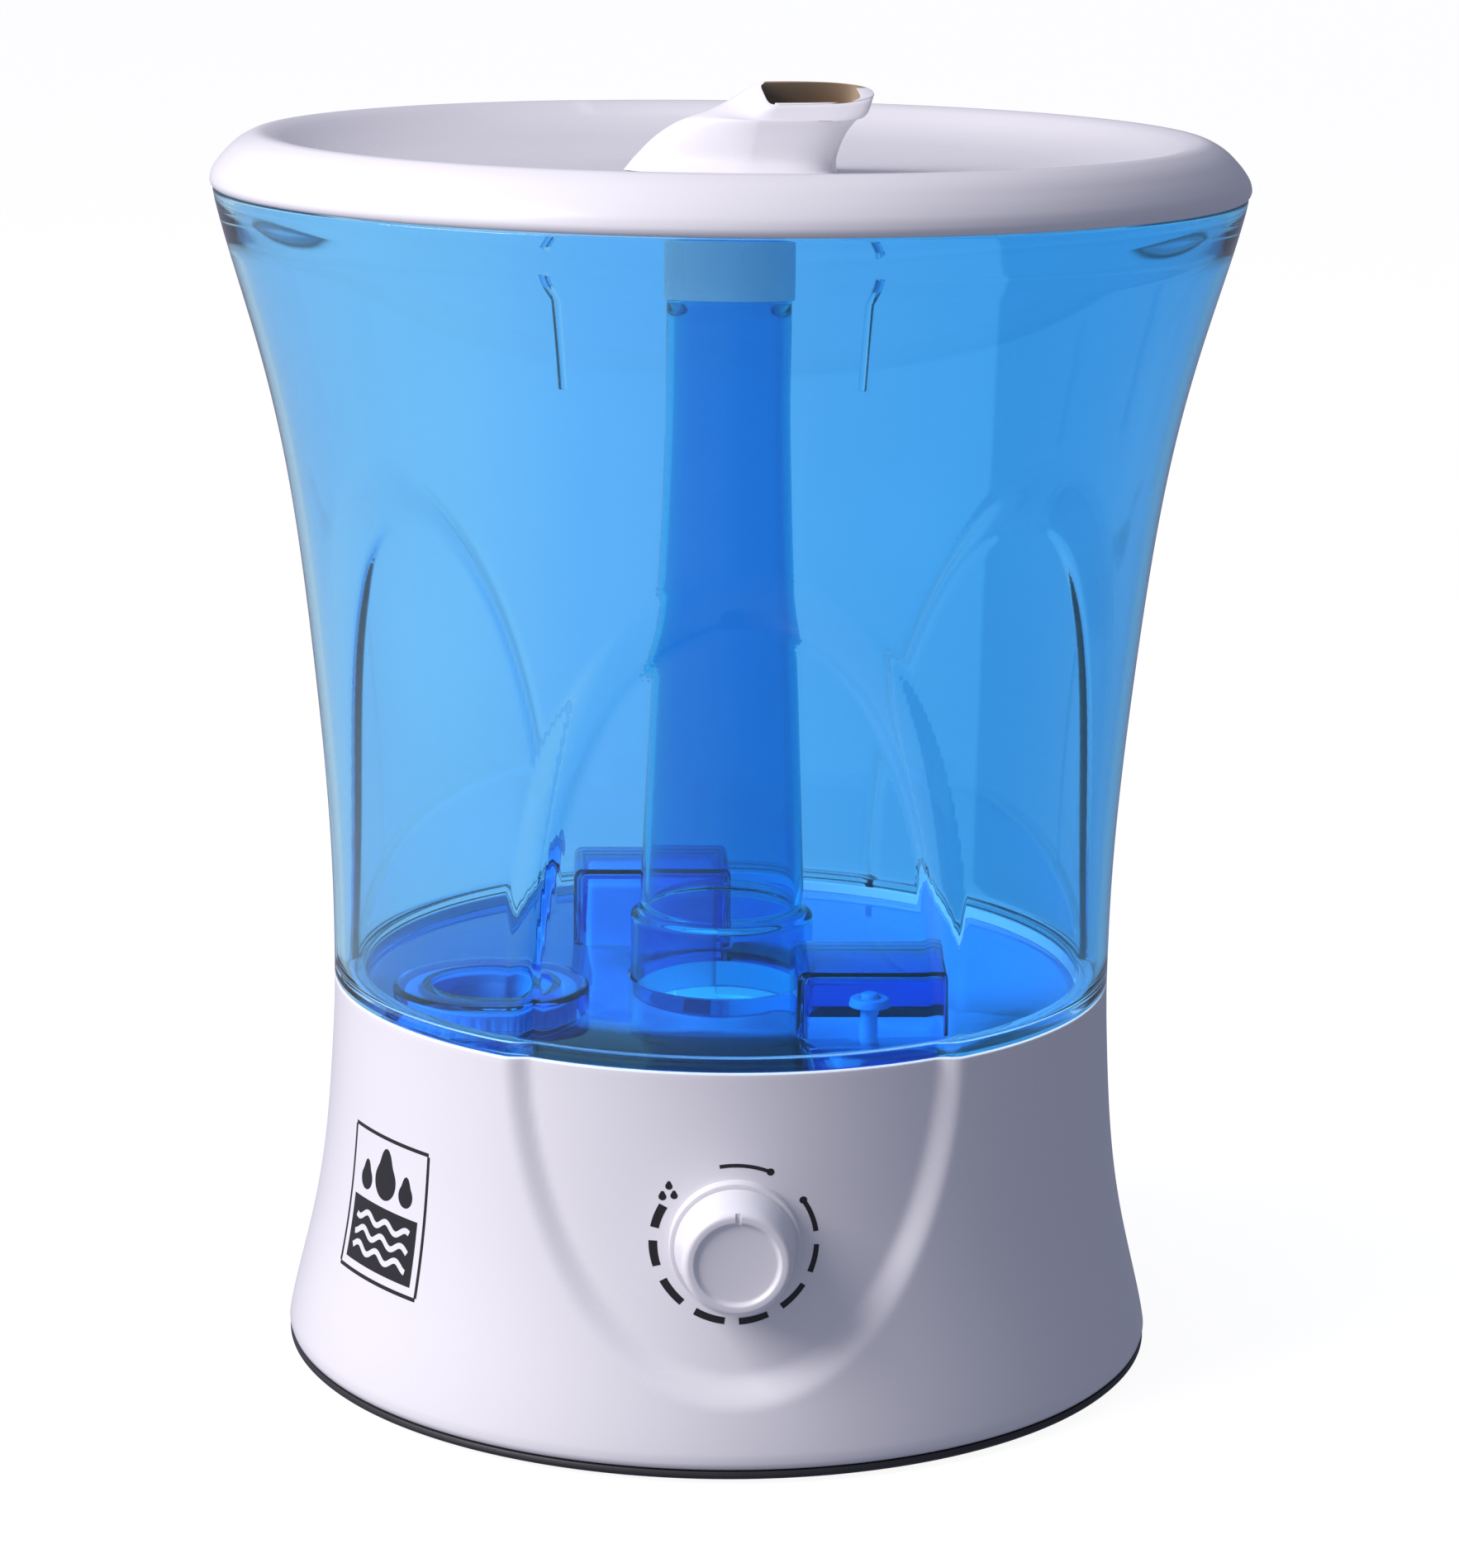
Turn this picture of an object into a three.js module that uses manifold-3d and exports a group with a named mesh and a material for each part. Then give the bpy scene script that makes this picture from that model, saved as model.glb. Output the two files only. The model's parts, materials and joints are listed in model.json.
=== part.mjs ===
// Cool mist (ultrasonic) humidifier: white base with a dial, lift-off blue
// tank with a central mist tube, lift-off dished lid and a swivelling nozzle.
// Millimetres, +Z up, front (dial side) towards -Y, origin on the floor under
// the vertical axis of the round body.
import * as THREE from 'three';
import { mergeVertices } from 'three/addons/utils/BufferGeometryUtils.js';
import Module from 'manifold-3d';

const wasm = await Module();
wasm.setup();

// ---------------------------------------------------------------- dimensions
const SEG_BODY = 36;           // facets round the large shells
const SHELL = 2.6;             // wall of the tank and the base shell

const COVER_Z0 = 1.2;          // bottom cover plate
const COVER_Z1 = 3.4;
const TANK_SEAT = 98.0;        // lowest ring of the tank, nested in the base
const NEST_R = 98.9;           // outer radius of that ring
const LID_CREST_R = 123.0;
const LID_CREST_Z = 327.5;

// outer radius of the hour-glass body against height
const BASE_PROFILE = [[3.7, 116.5], [5.6, 117.6], [17, 115.2], [28, 112.4],
  [40, 109.9], [52, 107.9], [68, 106.3], [86, 105.1], [102.5, 104.6]];
const TANK_PROFILE = [[102.8, 104.6], [138, 105.3], [170, 107.8], [199, 110.6], [214, 112.3],
  [232, 114.8], [256, 119.2], [280, 125.3], [299, 131.2], [313, 134.2]];

// three tall elliptical finger recesses, shared by the tank and the base
const RECESS_AZ = [0, 120, 240];       // degrees, 0 is the front
const RECESS_MID_Z = 103;
const RECESS_UP = 129;                 // rise of the outer outline above mid
const RECESS_DOWN = 84;                // drop of the outer outline below mid
const RECESS_HALF = 33.6;              // half width, degrees
const RECESS_UP_IN = 112;              // the same for the inner outline
const RECESS_DOWN_IN = 77;
const RECESS_HALF_IN = 30.4;

const KNOB_Z = 58.8;
const PAD_Y = -105.9;                  // face of the pad the dial turns on
const KNOB_BACK = -106.2;
const KNOB_FRONT = -119.6;
const KNOB_R_BACK = 15.4;
const KNOB_R_FRONT = 13.2;

const CAP_X = -61.5, CAP_Y = -32.4;    // filler cap in the tank floor
const FLOAT_X = 37, FLOAT_Y = -45;     // float chamber
const FAN_X = -18, FAN_Y = 44;         // fan and its air tower
const TOWER = { x0: -36, x1: 0, y0: 33, y1: 55, top: 117.5 };
const POCKET_AIR = { x0: -40, x1: 4, y0: 29, y1: 59, top: 122 };
const POCKET_FLOAT = { x0: 17, x1: 57, y0: -63, y1: -28, top: 118 };

// ------------------------------------------------------------------- helpers
function weld(geometry) {
  const g = geometry.clone();
  g.deleteAttribute('normal');
  g.deleteAttribute('uv');
  const m = mergeVertices(g, 1e-4);
  const src = m.index.array;
  const keep = [];
  for (let i = 0; i < src.length; i += 3) {
    const [a, b, c] = [src[i], src[i + 1], src[i + 2]];
    if (a !== b && b !== c && a !== c) keep.push(a, b, c);
  }
  const p = m.attributes.position.array;
  let vol = 0;
  for (let i = 0; i < keep.length; i += 3) {
    const [a, b, c] = [keep[i] * 3, keep[i + 1] * 3, keep[i + 2] * 3];
    vol += p[a] * (p[b + 1] * p[c + 2] - p[b + 2] * p[c + 1])
         - p[a + 1] * (p[b] * p[c + 2] - p[b + 2] * p[c])
         + p[a + 2] * (p[b] * p[c + 1] - p[b + 1] * p[c]);
  }
  if (vol < 0) for (let i = 0; i < keep.length; i += 3) [keep[i + 1], keep[i + 2]] = [keep[i + 2], keep[i + 1]];
  m.setIndex(keep);
  return m;
}

function solid(geometry) {
  const g = weld(geometry);
  return new wasm.Manifold(new wasm.Mesh({
    numProp: 3,
    vertProperties: new Float32Array(g.attributes.position.array),
    triVerts: new Uint32Array(g.index.array),
  }));
}

function geometryOf(manifold) {
  const mesh = manifold.getMesh();
  const g = new THREE.BufferGeometry();
  const n = mesh.numProp;
  const out = new Float32Array(mesh.vertProperties.length / n * 3);
  for (let i = 0; i < out.length / 3; i++) for (let k = 0; k < 3; k++) out[i * 3 + k] = mesh.vertProperties[i * n + k];
  g.setAttribute('position', new THREE.BufferAttribute(out, 3));
  g.setIndex(new THREE.BufferAttribute(new Uint32Array(mesh.triVerts), 1));
  return g;
}

// closed profile [r, z] turned about the Z axis
function lathe(profile, segments) {
  const pts = profile.map(([r, z]) => new THREE.Vector2(r, z));
  const first = profile[0];
  const last = profile[profile.length - 1];
  if (first[0] > 0 || last[0] > 0) pts.push(new THREE.Vector2(first[0], first[1]));
  const g = new THREE.LatheGeometry(pts, segments);
  g.rotateX(Math.PI / 2);
  return g;
}
const at = (g, x, y, z) => g.translate(x, y, z);
const box = (x0, x1, y0, y1, z0, z1) =>
  new THREE.BoxGeometry(x1 - x0, y1 - y0, z1 - z0).translate((x0 + x1) / 2, (y0 + y1) / 2, (z0 + z1) / 2);
const rod = (r, z0, z1, seg = 16, x = 0, y = 0) =>
  new THREE.CylinderGeometry(r, r, z1 - z0, seg).rotateX(Math.PI / 2).translate(x, y, (z0 + z1) / 2);
// the same lying along Y
const rodY = (r, y0, y1, seg = 16, x = 0, z = 0, r2 = r) =>
  new THREE.CylinderGeometry(r2, r, y1 - y0, seg).translate(x, (y0 + y1) / 2, z);

// stack of closed sections, each {c:[x,y,z], hx, hy, n, u:[..], v:[..]}; hl and nl
// give the left half its own width and power
function loft(sections, seg) {
  const g = new THREE.CylinderGeometry(1, 1, 1, seg, sections.length - 1);
  const p = g.attributes.position;
  for (let i = 0; i < p.count; i++) {
    const x = p.getX(i), y = p.getY(i), z = p.getZ(i);
    const row = Math.round((0.5 - y) * (sections.length - 1));
    const s = sections[sections.length - 1 - row];
    const rad = Math.hypot(x, z);
    let px = 0, py = 0;
    if (rad > 1e-6) {
      const c = x / rad, d = -z / rad;
      const left = c < 0 && s.hl !== undefined;
      const e = 2 / (left ? s.nl : s.n);
      px = (left ? s.hl : s.hx) * Math.sign(c) * Math.pow(Math.abs(c), e);
      py = s.hy * Math.sign(d) * Math.pow(Math.abs(d), e);
      if (Math.abs(c) < 1e-6) px = 0;
      if (Math.abs(d) < 1e-6) py = 0;
    }
    const u = s.u || [1, 0, 0], v = s.v || [0, 1, 0];
    p.setXYZ(i, s.c[0] + px * u[0] + py * v[0], s.c[1] + px * u[1] + py * v[1], s.c[2] + px * u[2] + py * v[2]);
  }
  return g;
}

// depth of the finger recess at an azimuth and a height
function recess(azDeg, z) {
  const depth = z < RECESS_MID_Z ? 3.0 + (RECESS_MID_Z - z) * 0.012 : Math.min(8.0, 3.0 + (z - RECESS_MID_Z) * 0.052);
  for (const c of RECESS_AZ) {
    let d = azDeg - c;
    while (d > 180) d -= 360;
    while (d < -180) d += 360;
    if (Math.abs(d) > 60) continue;
    const dz = z - RECESS_MID_Z;
    const pow = dz < 0 ? 1.7 : 2.0;
    const f = (half, up, down) => Math.pow(Math.abs(d) / half, 2) + Math.pow(Math.abs(dz) / (dz > 0 ? up : down), pow);
    const outer = Math.sqrt(f(RECESS_HALF, RECESS_UP, RECESS_DOWN));
    const inner = Math.sqrt(f(RECESS_HALF_IN, RECESS_UP_IN, RECESS_DOWN_IN));
    if (outer >= 1) continue;
    if (inner <= 1) return depth;
    // ramp between the two outlines
    const t = (1 - outer) / Math.max(1e-6, (1 - outer) + (inner - 1));
    return depth * t;
  }
  return 0;
}

// pushes the shell of a lathe inwards where the recesses are
function pressRecesses(g, limit) {
  const p = g.attributes.position;
  for (let i = 0; i < p.count; i++) {
    const x = p.getX(i), y = p.getY(i), z = p.getZ(i);
    const r = Math.hypot(x, y);
    if (!limit(r, z)) continue;
    const az = Math.atan2(x, -y) * 180 / Math.PI;
    const k = (r - recess(az, z)) / r;
    p.setXYZ(i, x * k, y * k, z);
  }
  return g;
}

const group = new THREE.Group();
function add(name, shape, color, roughness = 0.4, metalness = 0) {
  const g = shape instanceof wasm.Manifold ? geometryOf(shape) : weld(shape);
  g.computeVertexNormals();
  const mesh = new THREE.Mesh(g, new THREE.MeshStandardMaterial({ color, roughness, metalness }));
  mesh.name = name;
  group.add(mesh);
}
const WHITE = 0xf1f0f6, DARK = 0x1b1c20, BLUE = 0x2f8fe6, DEEP = 0x147de6, STEEL = 0xb9bcc2,
  BRASS = 0xc9a24b, GREEN = 0x1f6b3a, GREY = 0x8b8f96, RUBBER = 0x2a2a2c, COPPER = 0xb8663a;

function ring(r0, r1, z0, z1, seg) {
  return lathe([[r0, z0], [r1, z0], [r1, z1], [r0, z1]], seg);
}
const polar = (az, r) => [r * Math.sin(az * Math.PI / 180), -r * Math.cos(az * Math.PI / 180)];

// -------------------------------------------------------------- base housing
const baseOuter = BASE_PROFILE.map(([z, r]) => [r, z]);
const baseInner = [[99.3, 102.5], [99.3, 95.0], [96.0, 95.0], [96.0, 92.5],
  ...[[86, 105.1], [68, 106.3], [52, 107.9], [40, 109.9], [28, 112.4], [17, 115.2]]
    .map(([z, r]) => [r - SHELL, z]), [114.2, 3.7]];
let housing = solid(pressRecesses(lathe([...baseOuter, ...baseInner], SEG_BODY), (r, z) => r > 100.2));
// pad for the dial, clipped to the inside of the wall
housing = housing.add(solid(rodY(16.6, PAD_Y, -100.6, 32, 0, KNOB_Z)));
housing = housing.subtract(solid(rodY(4.8, -112, -95, 16, 0, KNOB_Z)));
// screw bosses with a rib to the wall
const BOSS_AZ = [60, 300, 192];
for (const az of BOSS_AZ) {
  const rib = new THREE.BoxGeometry(3, 9.5, 24).translate(0, -106.6, 20).rotateZ(az * Math.PI / 180);
  const [bx, by] = polar(az, 103);
  housing = housing.add(solid(rod(4.2, 5.8, 32, 12, bx, by)).add(solid(rib)));
  housing = housing.subtract(solid(rod(1.8, 5.0, 19, 10, bx, by)));
}
// cord inlet hole
const INLET_AZ = 168, INLET_Z = 18;
const inletHole = rodY(4.6, 106, 120, 16).translate(0, 0, INLET_Z);
inletHole.rotateZ((INLET_AZ - 180) * Math.PI / 180);
const inletPad = rodY(7.4, 110.4, 116.9, 20).translate(0, 0, INLET_Z).rotateZ((INLET_AZ - 180) * Math.PI / 180);
housing = housing.add(solid(inletPad)).subtract(solid(inletHole));
add('base_housing', housing, WHITE, 0.3);

// -------------------------------------------------------------- water basin
let basin = solid(lathe([[12.5, 58], [21.2, 58], [21.2, 66], [95.6, 66], [95.6, 95.3], [99.0, 95.3],
  [99.0, 97.7], [93.5, 97.7], [93.5, 68.4], [21.2, 68.4], [21.2, 91.0], [19.2, 91.0], [19.2, 60.4], [12.5, 60.4]], SEG_BODY));
// air tower with its bridge to the mist chamber
const tw = TOWER;
basin = basin.add(solid(box(tw.x0, tw.x1, tw.y0, tw.y1, 66.2, tw.top)));
basin = basin.add(solid(box(-12, 0, 17.4, 34, 75, 90.8)));
basin = basin.subtract(solid(box(tw.x0 + 2, tw.x1 - 2, tw.y0 + 2, tw.y1 - 2, 60, tw.top - 2)));
basin = basin.subtract(solid(box(-10, -2, 12, 37, 77, 88.8)));
// water inlets at the foot of the mist chamber
for (const az of [40, 270, 330]) {
  basin = basin.subtract(solid(new THREE.BoxGeometry(8, 10, 6).translate(0, -20, 71.5).rotateZ(az * Math.PI / 180)));
}
// valve post, float post
basin = basin.add(solid(rod(3.6, 67, 80.6, 12, CAP_X, CAP_Y)));
basin = basin.add(solid(rod(2.4, 67, 108.4, 12, FLOAT_X, FLOAT_Y)));
// bosses for the transducer clamp
const TRANS_AZ = [10, 130, 250];
for (const az of TRANS_AZ) {
  const [bx, by] = polar(az, 18.1);
  basin = basin.add(solid(rod(2.9, 54.7, 58.6, 10, bx, by)));
  basin = basin.subtract(solid(rod(1.5, 54, 59.6, 8, bx, by)));
}
add('water_basin', basin, WHITE, 0.35);

// ------------------------------------------------------- ultrasonic transducer
add('transducer_gasket', lathe([[8.0, 57.7], [14.0, 57.7], [14.0, 54.6], [10.5, 54.6], [10.5, 57.0], [8.0, 57.0]], 24), RUBBER, 0.8);
add('transducer_disc', lathe([[0, 55.6], [10.1, 55.6], [10.1, 56.7], [0, 56.7]], 24), BRASS, 0.35, 0.9);
let clamp = solid(ring(7.0, 20.8, 52.6, 54.3, 24));
for (const az of TRANS_AZ) {
  const [bx, by] = polar(az, 18.1);
  clamp = clamp.subtract(solid(rod(1.6, 50, 56, 8, bx, by)));
}
add('transducer_ring', clamp, STEEL, 0.35, 0.9);
TRANS_AZ.forEach((az, i) => {
  const [bx, by] = polar(az, 18.1);
  add(`transducer_screw_${i + 1}`, at(lathe([[0, 50.7], [2.4, 50.7], [2.4, 52.3], [1.2, 52.3], [1.2, 58.2], [0, 58.9]], 10), bx, by, 0), STEEL, 0.3, 0.9);
});

// --------------------------------------------------------------- bottom cover
const SCREW_R = 103;
const FEET = [[45, 90], [135, 90], [225, 90], [315, 90]];
let cover = solid(lathe([[0, COVER_Z0], [116.6, COVER_Z0], [117.6, 2.2], [117.2, COVER_Z1], [113.0, COVER_Z1],
  [113.0, 6.6], [111.2, 6.6], [111.2, COVER_Z1], [0, COVER_Z1]], SEG_BODY));
for (const [az, r] of FEET) {
  const [x, y] = polar(az, r);
  cover = cover.subtract(solid(rod(8.35, 0, 2.3, 16, x, y)));
}
for (const az of BOSS_AZ) {
  const [x, y] = polar(az, SCREW_R);
  cover = cover.add(solid(rod(5.6, 2.6, 5.5, 12, x, y)));
  cover = cover.subtract(solid(rod(3.8, 0, 3.7, 12, x, y)));
  cover = cover.subtract(solid(rod(1.9, 0, 8, 10, x, y)));
}
const FAN_HOLE = 25;
for (const [sx, sy] of [[-1, -1], [1, -1], [-1, 1], [1, 1]]) {
  const x = FAN_X + sx * FAN_HOLE, y = FAN_Y + sy * FAN_HOLE;
  cover = cover.add(solid(rod(3.4, 2.6, 7.7, 10, x, y)));
  cover = cover.subtract(solid(rod(1.7, 4.6, 9, 8, x, y)));
}
for (let i = -3; i <= 3; i++) {
  const half = Math.sqrt(Math.max(0, 24 * 24 - (i * 6) * (i * 6)));
  cover = cover.subtract(solid(box(FAN_X - half, FAN_X + half, FAN_Y + i * 6 - 1.6, FAN_Y + i * 6 + 1.6, 0, 5)));
}
// posts for the two circuit boards
for (const [x, y] of [[34, -22], [82, -22], [34, 14], [82, 14], [30, 34], [74, 34], [30, 66], [74, 66]]) {
  cover = cover.add(solid(rod(2.6, 2.6, 11.7, 6, x, y)));
}
add('bottom_cover', cover, DARK, 0.5);
FEET.forEach(([az, r], i) => {
  const [x, y] = polar(az, r);
  add(`rubber_foot_${i + 1}`, at(lathe([[0, 0], [7.2, 0], [8.0, 0.8], [8.0, 2.0], [0, 2.0]], 16), x, y, 0), RUBBER, 0.9);
});
BOSS_AZ.forEach((az, i) => {
  const [x, y] = polar(az, SCREW_R);
  add(`bottom_screw_${i + 1}`, at(lathe([[0, 1.4], [3.3, 1.4], [3.3, 3.3], [1.5, 3.3], [1.5, 15.5], [0, 17.5]], 10), x, y, 0), STEEL, 0.3, 0.9);
});

// ------------------------------------------------------------------------ fan
let fan = solid(box(FAN_X - 30, FAN_X + 30, FAN_Y - 30, FAN_Y + 30, 8, 23));
fan = fan.subtract(solid(rod(28, 5, 30, 28, FAN_X, FAN_Y)));
fan = fan.add(solid(rod(11, 8, 10.5, 16, FAN_X, FAN_Y)));
for (let i = 0; i < 3; i++) {
  fan = fan.add(solid(new THREE.BoxGeometry(3, 20, 2).translate(0, 18.8, 9.1).rotateZ(i * 2 * Math.PI / 3 + 0.4).translate(FAN_X, FAN_Y, 0)));
}
for (const [sx, sy] of [[-1, -1], [1, -1], [-1, 1], [1, 1]]) {
  fan = fan.subtract(solid(rod(2.1, 5, 30, 10, FAN_X + sx * FAN_HOLE, FAN_Y + sy * FAN_HOLE)));
}
add('fan_housing', fan, DARK, 0.5);
let rotor = solid(lathe([[0, 11.2], [12.2, 11.2], [13.2, 12.2], [13.2, 20.8], [11.8, 22.2], [0, 22.2]], 20));
for (let i = 0; i < 7; i++) {
  const blade = new THREE.BoxGeometry(14.4, 1.5, 11.5).rotateX(0.75).translate(19.2, 0, 16.7).rotateZ(i * 2 * Math.PI / 7);
  rotor = rotor.add(solid(blade).intersect(solid(rod(26.6, 11.8, 21.8, 24))));
}
rotor = rotor.translate([FAN_X, FAN_Y, 0]);
add('fan_impeller', rotor, DARK, 0.5);
[[-1, -1], [1, 1]].forEach(([sx, sy], i) => {
  add(`fan_screw_${i + 1}`, at(lathe([[0, 25.2], [2.9, 25.2], [2.9, 23.3], [1.4, 23.3], [1.4, 6.2], [0, 5.2]], 10),
    FAN_X + sx * FAN_HOLE, FAN_Y + sy * FAN_HOLE, 0), STEEL, 0.3, 0.9);
});
// duct from the fan up to the tower's mouth in the basin deck
const twx = (tw.x0 + tw.x1) / 2, twy = (tw.y0 + tw.y1) / 2;
const ductOuter = loft([
  { c: [FAN_X, FAN_Y, 23.4], hx: 29.4, hy: 29.4, n: 2 },
  { c: [FAN_X, FAN_Y, 30], hx: 29.4, hy: 29.4, n: 2 },
  { c: [twx, twy, 50], hx: 18.6, hy: 12.2, n: 5 },
  { c: [twx, twy, 65.7], hx: 18.6, hy: 12.2, n: 5 }], 24);
const ductInner = loft([
  { c: [FAN_X, FAN_Y, 22.4], hx: 27.4, hy: 27.4, n: 2 },
  { c: [FAN_X, FAN_Y, 30], hx: 27.4, hy: 27.4, n: 2 },
  { c: [twx, twy, 50], hx: 16.6, hy: 10.2, n: 5 },
  { c: [twx, twy, 66.7], hx: 16.6, hy: 10.2, n: 5 }], 24);
add('air_duct', solid(ductOuter).subtract(solid(ductInner)), GREY, 0.5);

// ---------------------------------------------------------------- electronics
let driver = solid(box(30, 86, -26, 18, 12.0, 13.6));
driver = driver.add(solid(rod(4, 13.2, 25, 12, 36, 10))).add(solid(rod(4, 13.2, 25, 12, 46, 10)));
driver = driver.add(solid(rod(6.5, 13.2, 22, 14, 38, -12))).add(solid(box(76, 84, -20, -6, 13.2, 20)));
add('driver_board', driver, GREEN, 0.6);
const comb = new THREE.Shape();
comb.moveTo(52, 13.9);
comb.lineTo(72, 13.9);
comb.lineTo(72, 34);
for (let i = 0; i < 5; i++) {
  const x = 72 - i * 4.4;
  if (i > 0) comb.lineTo(x, 34);
  comb.lineTo(x - 1.6 - (i === 4 ? 0.8 : 0), 34);
  if (i < 4) { comb.lineTo(x - 1.6, 17); comb.lineTo(x - 4.4, 17); }
}
comb.lineTo(52, 13.9);
add('heat_sink', new THREE.ExtrudeGeometry(comb, { depth: 30, bevelEnabled: false }).rotateX(Math.PI / 2).translate(0, 14, 0), STEEL, 0.4, 0.9);
add('power_transistor', solid(box(57, 67, -20.6, -16.3, 14, 23)).add(solid(box(57, 67, -18.0, -16.3, 22.8, 30))), DARK, 0.5);
let power = solid(box(26, 78, 30, 70, 12.0, 13.6));
power = power.add(solid(rod(5, 13.2, 28, 12, 34, 38))).add(solid(box(30, 42, 56, 66, 13.2, 24)));
power = power.add(solid(box(68, 76, 34, 46, 13.2, 19)));
add('power_board', power, GREEN, 0.6);
const coreBox = solid(box(46, 66, 34, 66, 14.0, 40)).subtract(solid(box(40, 70, 39, 46.5, 19, 35))).subtract(solid(box(40, 70, 53.5, 61, 19, 35)));
add('transformer_core', coreBox, GREY, 0.5, 0.5);
add('transformer_coil', solid(box(43, 69, 39.3, 60.7, 19.3, 34.7)).subtract(solid(box(40, 72, 46.2, 53.8, 0, 18.9)))
  .subtract(solid(box(45.7, 66.3, 46.2, 53.8, 18, 36))), COPPER, 0.4, 0.6);
// reed switch under the float
add('reed_switch', box(FLOAT_X - 9, FLOAT_X + 9, FLOAT_Y - 3, FLOAT_Y + 3, 60.5, 65.6), DARK, 0.5);

// --------------------------------------------------------------- dial and pot
let pot = solid(rodY(6.5, -98, -88.6, 20, 0, KNOB_Z)).add(solid(rodY(4.4, -108.6, -97.5, 16, 0, KNOB_Z)));
pot = pot.subtract(solid(rodY(3.2, -110, -93.5, 16, 0, KNOB_Z)));
add('potentiometer', pot, STEEL, 0.4, 0.8);
let nut = solid(rodY(6.6, -108.3, -106.2, 6, 0, KNOB_Z)).subtract(solid(rodY(4.7, -110, -104, 16, 0, KNOB_Z)));
add('pot_nut', nut, STEEL, 0.35, 0.9);
let board = solid(box(-17, 17, -88.2, -86.6, 44, 65.4)).add(solid(box(-12, -4, -87, -80, 46, 53))).add(solid(rodY(3, -87, -78, 12, 8, 50)));
add('control_board', board, GREEN, 0.6);
add('knob_shaft', rodY(2.9, -115.6, -94.2, 14, 0, KNOB_Z), STEEL, 0.3, 0.9);
// dial: r against y, turned about the Y axis
const knobProfile = [[3.1, -116.0], [3.1, -111.2], [9.6, -111.2], [9.6, KNOB_BACK], [KNOB_R_BACK, KNOB_BACK], [KNOB_R_BACK - 0.1, -107.6],
  [KNOB_R_FRONT + 0.5, -118.6], [KNOB_R_FRONT - 0.6, KNOB_FRONT], [10.6, KNOB_FRONT], [10.0, -118.6], [0, -118.6], [0, -116.0]];
let knob = solid(new THREE.LatheGeometry(knobProfile.map(([r, y]) => new THREE.Vector2(r, y)).concat([new THREE.Vector2(3.1, -116.0)]), 24)
  .translate(0, 0, KNOB_Z));
knob = knob.subtract(solid(box(-0.7, 0.7, -121, -118.9, KNOB_Z + 10.4, KNOB_Z + 14)));
add('control_knob', knob, WHITE, 0.3);

// -------------------------------------------------------------- cable grommet
const grommet = new THREE.LatheGeometry([[2.4, 105.5], [4.4, 105.5], [6.6, 107.5], [6.6, 110.1], [4.2, 110.1], [4.2, 117.2], [6.8, 117.2],
  [6.8, 118.0], [5.6, 119.2], [2.4, 119.2], [2.4, 105.5]].map(([r, y]) => new THREE.Vector2(r, y)), 16)
  .translate(0, 0, INLET_Z).rotateZ((INLET_AZ - 180) * Math.PI / 180);
add('cable_grommet', grommet, RUBBER, 0.8);

// ----------------------------------------------------------------------- tank
const tankOuter = TANK_PROFILE.map(([z, r]) => [r, z]);
const tankInner = [...TANK_PROFILE].reverse().filter(([z]) => z > 110 && z < 305).map(([z, r]) => [r - SHELL, z]);
const wall = lathe([[NEST_R, TANK_SEAT], [NEST_R, 102.8], ...tankOuter, [131.2, 313.0], [131.2, 318.0], [128.8, 318.0], [128.8, 301.5],
  ...tankInner.slice(1), [101.9, 105.6], [96.5, 105.6], [96.5, TANK_SEAT]], SEG_BODY);
let tank = solid(pressRecesses(wall, (r, z) => r > 99.5 && z > 102 && z < 305));
// two guide ribs on the back wall, under the lid
for (const a of [-22.5, 22.5]) {
  const slope = Math.atan2(12, 56);
  const rib = new THREE.BoxGeometry(1.8, 4.2, 62).rotateX(slope > 0 ? -slope : slope).translate(0, 120.6, 276).rotateZ(a * Math.PI / 180);
  tank = tank.add(solid(rib));
}
add('tank_wall', tank, BLUE, 0.15);

let floor = solid(lathe([[25.05, 98.2], [96.2, 98.2], [96.2, 100.6], [25.05, 100.6]], SEG_BODY));
const capAt = (g) => at(g, CAP_X, CAP_Y, 0);
floor = floor.add(solid(capAt(rod(25.6, 98.3, 107.5, 24))));
floor = floor.subtract(solid(capAt(rod(23.7, 90, 105.6, 24))));
floor = floor.add(solid(capAt(rod(18.2, 95.5, 106.4, 20))));
floor = floor.subtract(solid(capAt(rod(16.0, 90, 110, 20))));
for (const [pk, cut] of [[POCKET_AIR, 2], [POCKET_FLOAT, 2]]) {
  floor = floor.add(solid(box(pk.x0, pk.x1, pk.y0, pk.y1, 98.3, pk.top)));
  floor = floor.subtract(solid(box(pk.x0 + cut, pk.x1 - cut, pk.y0 + cut, pk.y1 - cut, 90, pk.top - cut)));
}
floor = floor.subtract(solid(rod(25.05, 90, 130, 36)));
add('tank_floor', floor, DEEP, 0.15);

add('mist_tube', lathe([[24.7, 92.3], [24.7, 118], [22.3, 119.2], [20, 175], [17.5, 223], [16.5, 254], [16.5, 287],
  [14.6, 287], [14.6, 295], [12.6, 295], [12.6, 285], [14.5, 280], [14.5, 254], [15.5, 223], [18, 175], [20.2, 121],
  [22.6, 117], [22.6, 92.3]], 24), DEEP, 0.15);

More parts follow.
